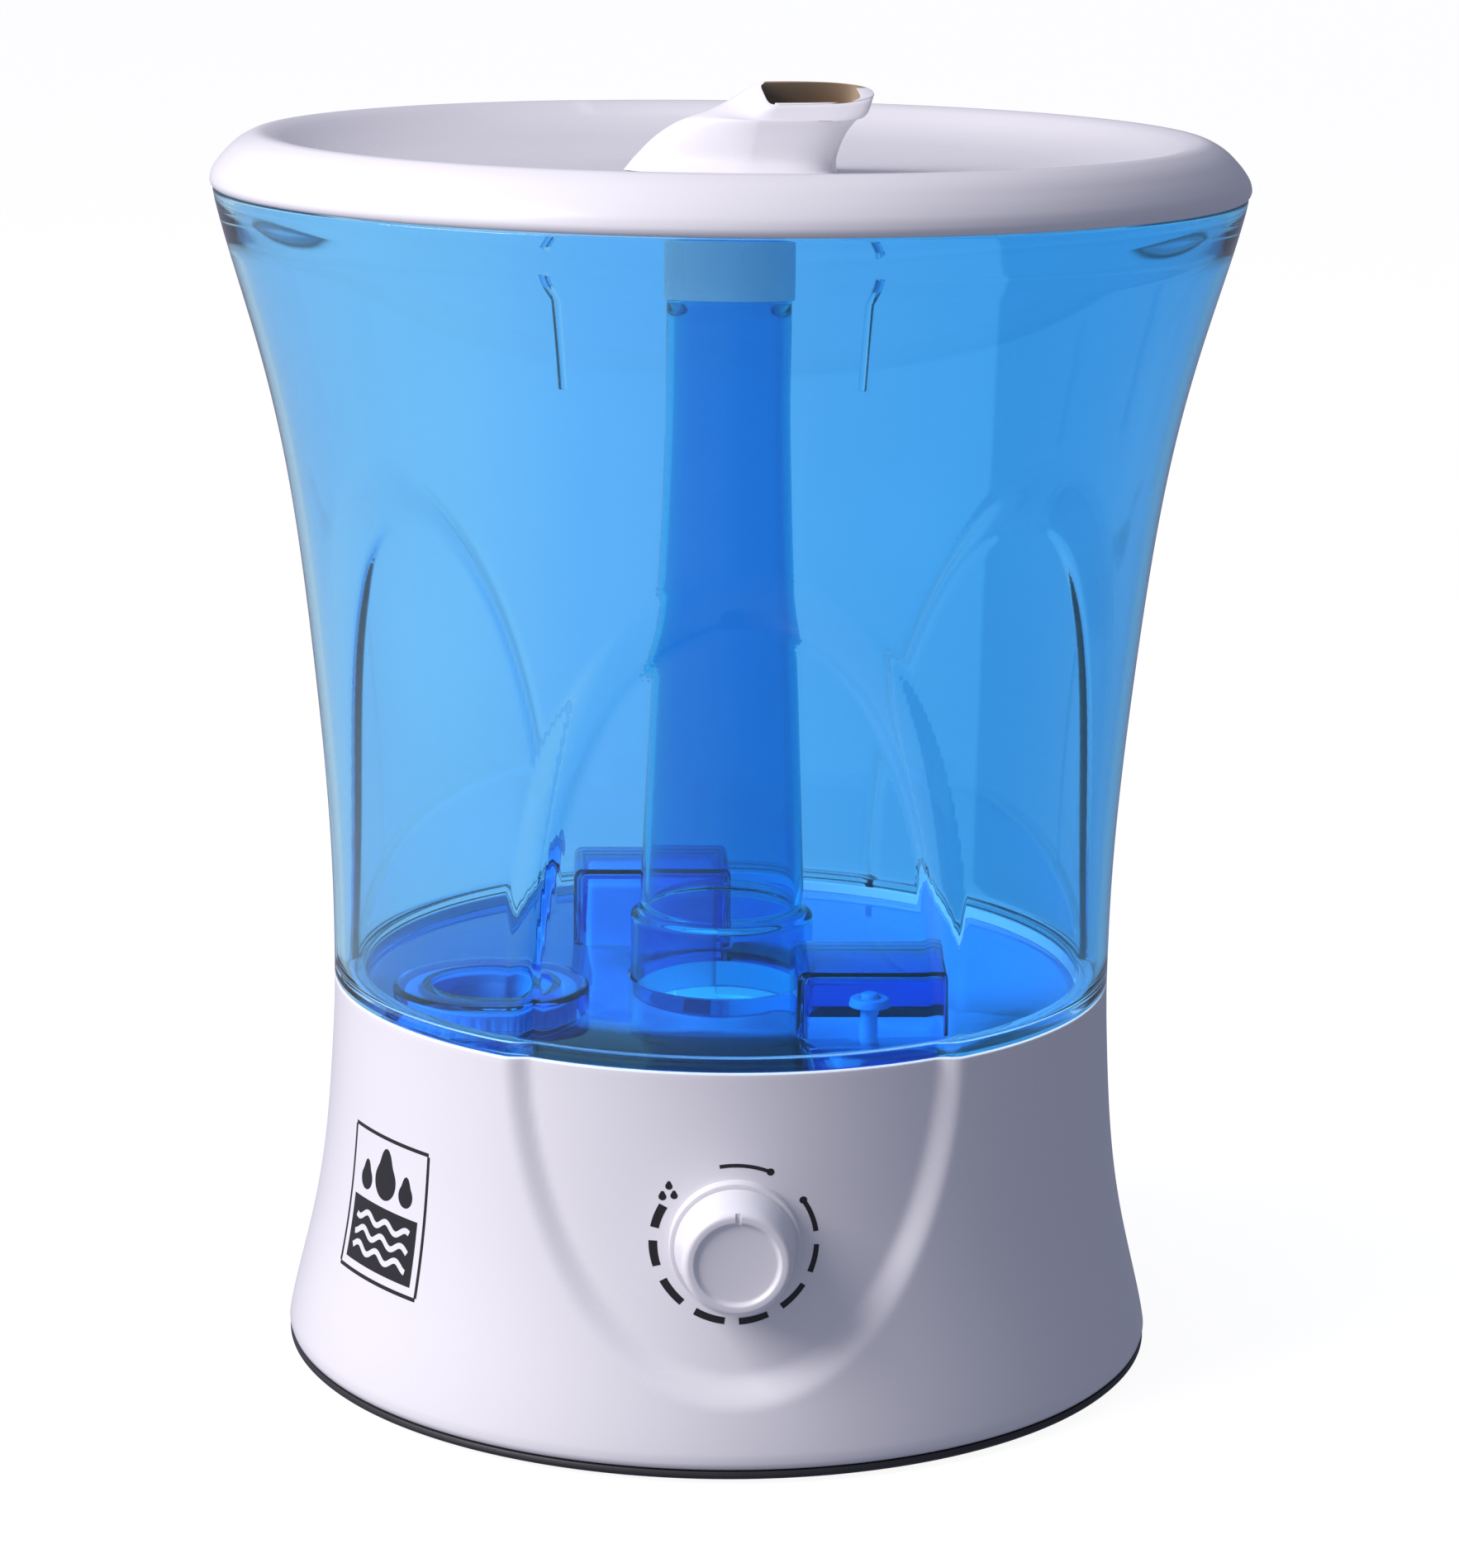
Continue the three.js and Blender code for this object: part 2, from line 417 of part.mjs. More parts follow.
// --------------------------------------------------------- filler cap + valve
let cap = solid(capAt(lathe([[2.3, 90.8], [20.8, 90.8], [22.3, 92.3], [22.3, 104.6], [18.8, 104.6], [18.8, 93.3], [2.3, 93.3]], 24)));
for (let i = 0; i < 5; i++) {
  const a = i * 2 * Math.PI / 5;
  cap = cap.subtract(solid(rod(1.9, 88, 96, 8, CAP_X + 6.6 * Math.cos(a), CAP_Y + 6.6 * Math.sin(a))));
}
add('filler_cap', cap, WHITE, 0.35);
add('cap_gasket', capAt(ring(16.2, 18.4, 93.6, 95.2, 20)), RUBBER, 0.8);
add('valve_plunger', capAt(lathe([[0, 84.2], [4.6, 84.2], [5.0, 84.6], [5.0, 85.7], [1.8, 85.7], [1.8, 95.9], [3.2, 95.9], [2.6, 97.6], [0, 98.0]], 14)), WHITE, 0.4);
add('valve_seal', capAt(ring(2.1, 10.4, 93.6, 95.6, 16)), RUBBER, 0.8);
class Helix extends THREE.Curve {
  constructor(r, z0, z1, turns) { super(); this.r = r; this.z0 = z0; this.z1 = z1; this.turns = turns; }
  getPoint(t, v = new THREE.Vector3()) {
    const a = t * this.turns * 2 * Math.PI;
    return v.set(this.r * Math.cos(a), this.r * Math.sin(a), this.z0 + (this.z1 - this.z0) * t);
  }
}
const wire = new THREE.Shape();
for (let i = 0; i < 4; i++) {
  const a = i * 2 * Math.PI / 4;
  if (i === 0) wire.moveTo(0.32 * Math.cos(a), 0.32 * Math.sin(a)); else wire.lineTo(0.32 * Math.cos(a), 0.32 * Math.sin(a));
}
wire.closePath();
add('valve_spring', capAt(new THREE.ExtrudeGeometry(wire, { steps: 32, bevelEnabled: false, extrudePath: new Helix(3.4, 86.5, 90.1, 3.5) })), STEEL, 0.3, 0.9);

// ---------------------------------------------------------------------- float
add('water_float', at(lathe([[3.1, 70.2], [12.0, 70.2], [13.0, 71.2], [13.0, 87.0], [12.0, 88.0], [6.9, 88.0], [6.9, 84.4], [3.1, 84.4]], 24), FLOAT_X, FLOAT_Y, 0), WHITE, 0.7);
add('float_magnet', at(ring(3.1, 6.5, 84.7, 87.7, 16), FLOAT_X, FLOAT_Y, 0), GREY, 0.4, 0.7);
add('float_clip', at(lathe([[2.8, 105.0], [5.6, 105.0], [5.0, 107.2], [2.8, 107.2]], 16), FLOAT_X, FLOAT_Y, 0), WHITE, 0.5);

// ------------------------------------------------------------------------ lid
add('lid_dish', lathe([[131.7, 313.4], [134.3, 313.3], [135.2, 314.9], [134.7, 317.4], [132.7, 320.4], [128.4, 324.9],
  [LID_CREST_R, LID_CREST_Z], [118.6, 326.6], [108, 322.3], [96, 319.4], [80, 317.8], [60, 317.2], [15.4, 317.2],
  [15.4, 303.2], [16.0, 302.8], [16.0, 287.4], [17.2, 287.4], [17.2, 314.9], [60, 314.9], [80, 315.5], [96, 317.1], [108, 320.0],
  [119.4, 324.3], [124.6, 323.9], [131.0, 319.0], [131.7, 316.6]], SEG_BODY), WHITE, 0.3);

// --------------------------------------------------------------------- nozzle
// a wide spout with a tapering left flank; its mouth plane leans forward
const MU = [0.9995, -0.02, 0.02], MV = [-0.32, 0.77, 0.55];
const MID_U = [0.998, -0.04, 0], MID_V = [-0.2, 0.87, 0.45];
const noz = [
  { c: [5, 0, 317.5], hl: 33, hx: 22.6, hy: 16.6, nl: 1.6, n: 3 },
  { c: [5, -0.2, 318.7], hl: 32, hx: 22.4, hy: 13.6, nl: 1.5, n: 3.2 },
  { c: [5.1, -1.2, 321.5], hl: 29.8, hx: 22.2, hy: 10.6, nl: 1.4, n: 3.8 },
  { c: [5.8, -2.6, 326.8], hl: 25.2, hx: 23.2, hy: 9.5, nl: 1.4, n: 4.4 },
  { c: [7.2, -4.2, 331.2], hl: 19.4, hx: 24.8, hy: 8.5, nl: 1.5, n: 4.4 },
  { c: [9.2, -5.8, 334.8], hl: 9.4, hx: 25.2, hy: 7, nl: 2.2, n: 4, u: MID_U, v: MID_V },
  { c: [11, -7.4, 338.2], hl: 2.4, hx: 25.3, hy: 5, nl: 4, n: 2.4, u: MU, v: MV }];
const nozIn = [
  { c: [0, 0, 316.5], hl: 12.7, hx: 12.7, hy: 12.7, nl: 2, n: 2 },
  { c: [1.5, -0.2, 318.7], hl: 13.8, hx: 17, hy: 11.4, nl: 2, n: 2.2 },
  { c: [4, -1.2, 321.5], hl: 17, hx: 19.8, hy: 8.6, nl: 1.8, n: 2.8 },
  { c: [5.6, -2.6, 326.8], hl: 16, hx: 21.2, hy: 7.8, nl: 1.7, n: 3.6 },
  { c: [7.2, -4.2, 331.2], hl: 12, hx: 22.8, hy: 6.8, nl: 1.8, n: 3.8 },
  { c: [9.2, -5.8, 334.8], hl: 6.2, hx: 22.8, hy: 5.5, nl: 2.2, n: 3.6, u: MID_U, v: MID_V },
  { c: [11, -7.7, 338.7], hl: 1.5, hx: 21.4, hy: 4.1, nl: 5, n: 4.2, u: MU, v: MV }];
let nozzle = solid(loft(noz, 24));
const stemGroove = lathe([[0, 298.4], [14.9, 298.4], [14.9, 299.8], [13.9, 299.8], [13.9, 302.6], [14.9, 302.6], [14.9, 317.9], [0, 317.9]], 18);
nozzle = nozzle.add(solid(stemGroove));
nozzle = nozzle.subtract(solid(loft(nozIn, 20))).subtract(solid(rod(12.6, 296, 317.2, 18)));
add('mist_nozzle', nozzle, WHITE, 0.3);
// open retaining clip in the groove of the stem
const clip = new THREE.Shape();
clip.absarc(0, 0, 15.7, 0.35, 2 * Math.PI - 0.35, false);
clip.absarc(0, 0, 14.2, 2 * Math.PI - 0.35, 0.35, true);
clip.closePath();
add('nozzle_clip', new THREE.ExtrudeGeometry(clip, { depth: 2.0, bevelEnabled: false, curveSegments: 10 }).translate(0, 0, 300.2), STEEL, 0.35, 0.8);

export default group;
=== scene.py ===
import json
import math
import bpy
import bmesh
import numpy as np
from mathutils import Matrix, Vector


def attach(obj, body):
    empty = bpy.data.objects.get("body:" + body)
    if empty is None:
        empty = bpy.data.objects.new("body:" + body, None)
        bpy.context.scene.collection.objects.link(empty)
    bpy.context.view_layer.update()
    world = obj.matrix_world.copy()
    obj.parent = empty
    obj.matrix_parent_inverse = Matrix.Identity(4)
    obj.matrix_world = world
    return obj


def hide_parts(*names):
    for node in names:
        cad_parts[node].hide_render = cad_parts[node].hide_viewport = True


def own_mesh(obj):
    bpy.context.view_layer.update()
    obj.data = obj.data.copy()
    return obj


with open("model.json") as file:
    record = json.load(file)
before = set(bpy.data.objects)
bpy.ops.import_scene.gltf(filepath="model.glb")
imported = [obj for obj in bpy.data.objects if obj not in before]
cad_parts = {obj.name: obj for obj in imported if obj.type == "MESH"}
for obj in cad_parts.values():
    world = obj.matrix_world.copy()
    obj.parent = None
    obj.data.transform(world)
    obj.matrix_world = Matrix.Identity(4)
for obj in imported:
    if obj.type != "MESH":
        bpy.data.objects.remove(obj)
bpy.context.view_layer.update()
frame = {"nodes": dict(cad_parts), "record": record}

scene = bpy.context.scene
RECORD = frame["record"]
BODY = {n: b for b, ns in RECORD["behaviour"]["bodies"].items() for n in ns}
SLOT = {s["node"]: s["material_slot"] for s in RECORD["subparts"]}
MM = 0.001

# --------------------------------------------------------------- camera first
cam_data = bpy.data.cameras.new("camera")
cam = bpy.data.objects.new("camera", cam_data)
scene.collection.objects.link(cam)
cam_data.lens = 98.32
cam_data.sensor_width = 36
cam_data.shift_x = 0.0039
cam_data.clip_start, cam_data.clip_end = 0.05, 60
cam.location = (-0.0480, -1.1227, 0.4133)
look = Vector((0.04165, 0.97337, -0.22544)).normalized()
base_q = look.to_track_quat("-Z", "Y")
cam.rotation_mode = "QUATERNION"
cam.rotation_quaternion = base_q @ Matrix.Rotation(0.0126, 3, "Z").to_quaternion()
scene.camera = cam


# ------------------------------------------------------------------ materials
def new_material(name):
    m = bpy.data.materials.new(name)
    m.use_nodes = True
    nt = m.node_tree
    return m, nt, nt.nodes["Principled BSDF"]


def moulded(name, color, rough, spread=0.06, grain=0.04, grain_scale=900.0, wave=0.02, tint=0.02,
            metallic=0.0, coat=0.0, ior=1.5, subsurface=0.0, specular=0.5):
    """Moulded or metal surface: cloudy colour variation, uneven gloss, fine grain and a slow wave in the surface."""
    m, nt, b = new_material(name)
    n, l = nt.nodes, nt.links
    tc = n.new("ShaderNodeTexCoord")
    big = n.new("ShaderNodeTexNoise"); big.inputs["Scale"].default_value = 18; big.inputs["Detail"].default_value = 3
    fine = n.new("ShaderNodeTexNoise"); fine.inputs["Scale"].default_value = grain_scale; fine.inputs["Detail"].default_value = 2
    l.new(tc.outputs["Object"], big.inputs["Vector"])
    l.new(tc.outputs["Object"], fine.inputs["Vector"])
    ramp = n.new("ShaderNodeValToRGB")
    lo = [max(0.0, c * (1 - tint)) for c in color]
    hi = [min(1.0, c * (1 + tint)) for c in color]
    ramp.color_ramp.elements[0].position = 0.3
    ramp.color_ramp.elements[0].color = (*lo, 1)
    ramp.color_ramp.elements[1].position = 0.7
    ramp.color_ramp.elements[1].color = (*hi, 1)
    l.new(big.outputs["Fac"], ramp.inputs["Fac"])
    l.new(ramp.outputs["Color"], b.inputs["Base Color"])
    mr = n.new("ShaderNodeMapRange")
    mr.inputs["From Min"].default_value = 0.3
    mr.inputs["From Max"].default_value = 0.7
    mr.inputs["To Min"].default_value = max(0.02, rough - spread)
    mr.inputs["To Max"].default_value = rough + spread
    l.new(big.outputs["Fac"], mr.inputs["Value"])
    l.new(mr.outputs["Result"], b.inputs["Roughness"])
    b1 = n.new("ShaderNodeBump"); b1.inputs["Strength"].default_value = grain; b1.inputs["Distance"].default_value = 0.0002
    b2 = n.new("ShaderNodeBump"); b2.inputs["Strength"].default_value = wave; b2.inputs["Distance"].default_value = 0.004
    l.new(fine.outputs["Fac"], b1.inputs["Height"])
    l.new(big.outputs["Fac"], b2.inputs["Height"])
    l.new(b2.outputs["Normal"], b1.inputs["Normal"])
    l.new(b1.outputs["Normal"], b.inputs["Normal"])
    b.inputs["Metallic"].default_value = metallic
    b.inputs["Coat Weight"].default_value = coat
    b.inputs["Coat Roughness"].default_value = 0.08
    b.inputs["IOR"].default_value = ior
    b.inputs["Specular IOR Level"].default_value = specular
    if subsurface:
        b.inputs["Subsurface Weight"].default_value = subsurface
        b.inputs["Subsurface Radius"].default_value = (0.004, 0.004, 0.005)
        b.inputs["Subsurface Scale"].default_value = 1.0
    return m


def tinted(name, color, rough=0.03, wave=0.03, ior=1.45, specular=0.3):
    """Clear tinted moulded plastic with slight flow marks."""
    m, nt, b = new_material(name)
    n, l = nt.nodes, nt.links
    tc = n.new("ShaderNodeTexCoord")
    big = n.new("ShaderNodeTexNoise"); big.inputs["Scale"].default_value = 9; big.inputs["Detail"].default_value = 2
    l.new(tc.outputs["Object"], big.inputs["Vector"])
    ramp = n.new("ShaderNodeValToRGB")
    ramp.color_ramp.elements[0].position = 0.3
    ramp.color_ramp.elements[0].color = (*[c * 0.97 for c in color], 1)
    ramp.color_ramp.elements[1].position = 0.7
    ramp.color_ramp.elements[1].color = (*[min(1.0, c * 1.03) for c in color], 1)
    l.new(big.outputs["Fac"], ramp.inputs["Fac"])
    l.new(ramp.outputs["Color"], b.inputs["Base Color"])
    mr = n.new("ShaderNodeMapRange")
    mr.inputs["To Min"].default_value = rough * 0.5
    mr.inputs["To Max"].default_value = rough * 1.5
    l.new(big.outputs["Fac"], mr.inputs["Value"])
    l.new(mr.outputs["Result"], b.inputs["Roughness"])
    bump = n.new("ShaderNodeBump"); bump.inputs["Strength"].default_value = wave; bump.inputs["Distance"].default_value = 0.003
    l.new(big.outputs["Fac"], bump.inputs["Height"])
    l.new(bump.outputs["Normal"], b.inputs["Normal"])
    b.inputs["Transmission Weight"].default_value = 1.0
    b.inputs["IOR"].default_value = ior
    b.inputs["Specular IOR Level"].default_value = specular
    return m


MAT = {
    "white_gloss": moulded("white_abs", (0.80, 0.795, 0.82), 0.28, spread=0.02, wave=0.003, tint=0.003, grain=0.015),
    "white_lid": moulded("white_abs_lid", (0.80, 0.795, 0.82), 0.27, spread=0.02, wave=0.003, tint=0.003, grain=0.015),
    "white_satin": moulded("white_satin", (0.80, 0.81, 0.83), 0.42, wave=0.01, tint=0.01),
    "blue_tank": tinted("azure_clear", (0.37, 0.71, 0.98), 0.025, 0.02),
    "deep_blue": tinted("azure_thick", (0.07, 0.62, 0.87), 0.03, 0.02, specular=0.2),
    "deep_floor": tinted("azure_floor", (0.05, 0.36, 0.86), 0.05, 0.03, specular=0.15),
    "black_plastic": moulded("black_plastic", (0.022, 0.022, 0.025), 0.5, grain=0.25, grain_scale=1400),
    "rubber": moulded("rubber", (0.035, 0.035, 0.037), 0.72, grain=0.3, grain_scale=1100),
    "steel": moulded("zinc_steel", (0.62, 0.62, 0.64), 0.3, metallic=1.0, grain=0.12, grain_scale=1600, tint=0.05),
    "brass_disc": moulded("silvered_disc", (0.78, 0.70, 0.50), 0.28, metallic=1.0, grain=0.1, grain_scale=1500, tint=0.06),
    "grey_plastic": moulded("grey_plastic", (0.36, 0.37, 0.39), 0.5, grain=0.2, grain_scale=1300),
    "aluminium_sink": moulded("aluminium", (0.72, 0.73, 0.74), 0.36, metallic=1.0, grain=0.2, grain_scale=700, tint=0.04),
    "circuit_board": moulded("solder_mask", (0.03, 0.20, 0.08), 0.35, grain=0.15, grain_scale=420, tint=0.25),
    "core_iron": moulded("core_iron", (0.16, 0.16, 0.18), 0.5, metallic=0.7, grain=0.35, grain_scale=600, tint=0.1),
    "copper_coil": moulded("copper_winding", (0.56, 0.24, 0.10), 0.3, metallic=0.8, grain=0.5, grain_scale=500, tint=0.15),
    "float_foam": moulded("foam", (0.80, 0.80, 0.78), 0.75, grain=0.5, grain_scale=500, tint=0.05),
    "magnet": moulded("ferrite", (0.10, 0.10, 0.11), 0.4, metallic=0.5, grain=0.2, tint=0.1),
    # painted shade: dark brown that stands in for the shade and warm reflection inside the spout mouth
    "spout_painted_shade": moulded("spout_painted_shade", (0.40, 0.30, 0.20), 0.5, grain=0.05, tint=0.05),
    "white_ink": moulded("white_ink", (0.78, 0.78, 0.79), 0.4, grain=0.05, tint=0.02),
    "ink": moulded("print_ink", (0.012, 0.012, 0.014), 0.38, grain=0.05, tint=0.1),
}


# -------------------------------------------------------------------- meshes
def shade(ob, angle=32.0):
    me = ob.data
    me.polygons.foreach_set("use_smooth", np.ones(len(me.polygons), dtype=bool))
    me.set_sharp_from_angle(angle=math.radians(angle))


def mesh_object(name, verts, faces, angle=32.0):
    """Object from millimetre vertices and faces, with its faces pointing out."""
    v = np.asarray(verts, dtype=np.float64)
    vol = 0.0
    quads = [f for f in faces if len(f) == 4]
    tris = [f for f in faces if len(f) == 3]
    for group, cuts in ((quads, ((0, 1, 2), (0, 2, 3))), (tris, ((0, 1, 2),))):
        if not group:
            continue
        g = np.asarray(group)
        for a, b, c in cuts:
            vol += np.einsum("ij,ij->i", v[g[:, a]], np.cross(v[g[:, b]], v[g[:, c]])).sum()
    for f in faces:
        if len(f) > 4:
            for i in range(1, len(f) - 1):
                vol += float(np.dot(v[f[0]], np.cross(v[f[i]], v[f[i + 1]])))
    if vol < 0:
        faces = [tuple(reversed(f)) for f in faces]
    me = bpy.data.meshes.new(name)
    me.from_pydata((v * MM).tolist(), [], [tuple(int(i) for i in f) for f in faces])
    me.update()
    ob = bpy.data.objects.new(name, me)
    scene.collection.objects.link(ob)
    shade(ob, angle)
    return ob


def soft(points, closed=True):
    """Outline (r, z[, cut[, steps]]) with its named corners rounded."""
    out, count = [], len(points)
    for i, p in enumerate(points):
        cut = p[2] if len(p) > 2 else 0
        if cut <= 0 or (not closed and i in (0, count - 1)):
            out.append((p[0], p[1]))
            continue
        a, b, c = (np.array(points[j % count][:2], float) for j in (i - 1, i, i + 1))
        u, w = a - b, c - b
        lu, lw = np.linalg.norm(u), np.linalg.norm(w)
        t = min(cut, 0.48 * lu, 0.48 * lw)
        p0, p1 = b + u / lu * t, b + w / lw * t
        k = p[3] if len(p) > 3 else 4
        for s in np.linspace(0, 1, k + 1):
            q = (1 - s) ** 2 * p0 + 2 * s * (1 - s) * b + s * s * p1
            out.append((float(q[0]), float(q[1])))
    return out


def rows_to_mesh(name, rows, closed, angle=32.0):
    """Rows of points (each n x 3, or one point at a pole) joined into a skin; closed joins the last row to the first."""
    verts, index = [], []
    for row in rows:
        row = np.atleast_2d(row)
        index.append(np.arange(len(verts), len(verts) + len(row)))
        verts.extend(row.tolist())
    faces = []
    pairs = [(i, i + 1) for i in range(len(rows) - 1)] + ([(len(rows) - 1, 0)] if closed else [])
    for i, j in pairs:
        a, b = index[i], index[j]
        if len(a) > 1 and len(b) > 1:
            a2, b2 = np.roll(a, -1), np.roll(b, -1)
            faces.extend(zip(a.tolist(), a2.tolist(), b2.tolist(), b.tolist()))
        elif len(a) == 1 and len(b) > 1:
            faces.extend((int(a[0]), int(q), int(p)) for p, q in zip(b, np.roll(b, -1)))
        elif len(b) == 1 and len(a) > 1:
            faces.extend((int(p), int(q), int(b[0])) for p, q in zip(a, np.roll(a, -1)))
    return mesh_object(name, verts, faces, angle)


def lathe(name, outline, seg=96, closed=True, move=(0, 0, 0), press=None, angle=32.0):
    """Turned skin about Z. Azimuth 0 is the front (-Y), 90 is +X."""
    az = np.linspace(0, 2 * math.pi, seg, endpoint=False)
    rows = []
    for r, z in outline:
        if r < 1e-6:
            rows.append(np.array([[0.0, 0.0, z]]))
            continue
        rr = np.full(seg, float(r))
        if press is not None:
            rr = press(np.degrees(az), rr, z)
        rows.append(np.stack([rr * np.sin(az), -rr * np.cos(az), np.full(seg, float(z))], 1))
    ob = rows_to_mesh(name, rows, closed, angle)
    if any(move):
        ob.data.transform(Matrix.Translation(Vector(move) * MM))
    return ob


def turned_y(name, outline, x=0.0, z=0.0, seg=96, closed=True, angle=32.0):
    """The same about a line along Y: outline is (r, y)."""
    t = np.linspace(0, 2 * math.pi, seg, endpoint=False)
    rows = []
    for r, y in outline:
        if r < 1e-6:
            rows.append(np.array([[x, y, z]]))
        else:
            rows.append(np.stack([x + r * np.sin(t), np.full(seg, float(y)), z + r * np.cos(t)], 1))
    return rows_to_mesh(name, rows, closed, angle)


def block(name, x0, x1, y0, y1, z0, z1, r=0.4, seg=3, only_upright=False):
    """Box with rounded edges."""
    bm = bmesh.new()
    bmesh.ops.create_cube(bm, size=1)
    for v in bm.verts:
        v.co = Vector((x0 + (v.co.x + .5) * (x1 - x0), y0 + (v.co.y + .5) * (y1 - y0), z0 + (v.co.z + .5) * (z1 - z0))) * MM
    if r > 0:
        edges = [e for e in bm.edges if not only_upright or abs((e.verts[0].co - e.verts[1].co).normalized().z) > 0.9]
        bmesh.ops.bevel(bm, geom=edges, offset=r * MM, segments=seg, affect="EDGES", profile=0.5)
    me = bpy.data.meshes.new(name)
    bm.to_mesh(me)
    bm.free()
    ob = bpy.data.objects.new(name, me)
    scene.collection.objects.link(ob)
    shade(ob)
    return ob


def rod(name, r, z0, z1, x=0.0, y=0.0, seg=48, edge=0.0):
    e = edge
    outline = soft([(0, z0), (r, z0, e), (r, z1, e), (0, z1)], closed=False)
    return lathe(name, outline, seg, closed=False, move=(x, y, 0))


def turn(ob, matrix):
    ob.data.transform(matrix)
    return ob


def rot_z(deg):
    return Matrix.Rotation(math.radians(deg), 4, "Z")


def cut(ob, tools, op="DIFFERENCE", angle=32.0):
    """Joins to or cuts ob with the tools, which are used up."""
    for t in tools:
        m = ob.modifiers.new("b", "BOOLEAN")
        m.operation = op
        try:
            m.solver = "MANIFOLD"
        except TypeError:
            m.solver = "EXACT"
        m.object = t
    dg = bpy.context.evaluated_depsgraph_get()
    dg.update()
    me = bpy.data.meshes.new_from_object(ob.evaluated_get(dg))
    ob.modifiers.clear()
    old = ob.data
    ob.data = me
    bpy.data.meshes.remove(old)
    for t in tools:
        d = t.data
        bpy.data.objects.remove(t)
        if d.users == 0:
            bpy.data.meshes.remove(d)
    shade(ob, angle)
    return ob


def stands_for(ob, node, mat=None):
    ob.data.materials.clear()
    ob.data.materials.append(mat or MAT[SLOT[node]])
    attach(ob, BODY[node])
    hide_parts(node)
    return ob


# -------------------------------------------------------------- shared shapes
BASE_R = np.array([[5.6, 117.6], [10, 116.8], [20, 114.4], [30, 111.9], [40, 109.9], [50, 108.2], [60, 107.0], [70, 106.1],
                   [80, 105.5], [90, 104.95], [100, 104.65], [102.5, 104.6]])
TANK_R = np.array([[102.8, 104.6], [110, 104.65], [120, 104.8], [130, 105.0], [140, 105.4], [150, 106.1], [160, 106.9], [170, 107.7],
                   [180, 108.55], [190, 109.5], [200, 110.65], [210, 111.8], [220, 113.05], [230, 114.5], [240, 116.1], [250, 118],
                   [260, 120.2], [270, 122.6], [280, 125.3], [290, 128.2], [300, 131.4], [313, 134.4]])
BASE_FIT = np.polyfit((BASE_R[:, 0] - 54) / 54, BASE_R[:, 1], 5)
TANK_FIT = np.polyfit((TANK_R[:, 0] - 208) / 105, TANK_R[:, 1], 6)


def base_r(z):
    return float(np.polyval(BASE_FIT, (z - 54) / 54))


def tank_r(z):
    return float(np.polyval(TANK_FIT, (z - 208) / 105))


def recess(az, z):
    """Depth of the three tall finger recesses, for azimuths in degrees (array) at one height."""
    az = np.asarray(az, float)
    depth = 3.0 + (103 - z) * 0.012 if z < 103 else min(8.0, 3.0 + (z - 103) * 0.052)
    d = (az + 60) % 120 - 60
    dz = z - 103
    p = 1.7 if dz < 0 else 2.0
    outer = np.sqrt((d / 33.6) ** 2 + (abs(dz) / (129 if dz > 0 else 84)) ** p)
    inner = np.sqrt((d / 30.4) ** 2 + (abs(dz) / (112 if dz > 0 else 77)) ** p)
    t = (1 - outer) / np.maximum(1e-6, (1 - outer) + (inner - 1))
    t = np.clip(np.where(inner <= 1, 1.0, t), 0, 1)
    t = np.where(outer >= 1, 0.0, t)
    s = t * t * (3 - 2 * t)
    return depth * (0.45 * t + 0.55 * s)


# ---------------------------------------------------------------- base housing
def base_press(az, r, z):
    return r - recess(az, z) if r[0] > 100.2 else r


zs = np.concatenate([np.arange(8.0, 101.6, 1.25)])
outline = [(115.9, 3.7), (116.6, 3.72), (117.2, 4.3), (117.6, 5.6)] + [(base_r(z), z) for z in zs] + \
    soft([(base_r(101.4), 101.6), (base_r(102.5), 102.5, 0.7), (99.3, 102.5, 0.5), (99.3, 95.0), (96.0, 95.0), (96.0, 92.5), (base_r(92.5) - 2.6, 92.5), (base_r(91) - 2.6, 91)])[1:-1] + \
    [(base_r(z) - 2.6, z) for z in np.arange(90, 7.0, -3.0)] + [(114.6, 6.0), (114.3, 3.7)]
housing = lathe("base_shell", outline, 480, press=base_press, angle=40)
pad = turned_y("pad", soft([(0, -105.9), (16.6, -105.9, 0.35), (16.6, -100.6), (0, -100.6)], closed=False), 0, 58.8, 96, closed=False)
adds = [pad]
for a in (60, 300, 192):
    rib = block("rib", -1.5, 1.5, -111.3, -101.9, 8, 32, 0.3)
    turn(rib, rot_z(a))
    bx, by = 103 * math.sin(math.radians(a)), -103 * math.cos(math.radians(a))
    adds += [rod("boss", 4.2, 5.8, 32, bx, by, 32), rib]
inlet = turned_y("inlet", soft([(0, 110.4), (7.4, 110.4), (7.4, 116.9, 0.6), (0, 116.9)], closed=False), 0, 18, 64, closed=False)
turn(inlet, rot_z(168 - 180))
adds.append(inlet)
cut(housing, adds, "UNION", 40)
holes = [turned_y("h", [(0, -112), (4.8, -112), (4.8, -95), (0, -95)], 0, 58.8, 48, closed=False)]
ih = turned_y("h", [(0, 106), (4.6, 106), (4.6, 120), (0, 120)], 0, 18, 48, closed=False)
holes.append(turn(ih, rot_z(168 - 180)))
for a in (60, 300, 192):
    bx, by = 103 * math.sin(math.radians(a)), -103 * math.cos(math.radians(a))
    holes.append(rod("h", 1.8, 5.0, 19, bx, by, 24))
cut(housing, holes, "DIFFERENCE", 40)
stands_for(housing, "base_housing")


# -------------------------------------------------------------------- tank wall
def tank_press(az, r, z):
    return r - recess(az, z) if (r[0] > 99.5 and 102 < z < 305) else r


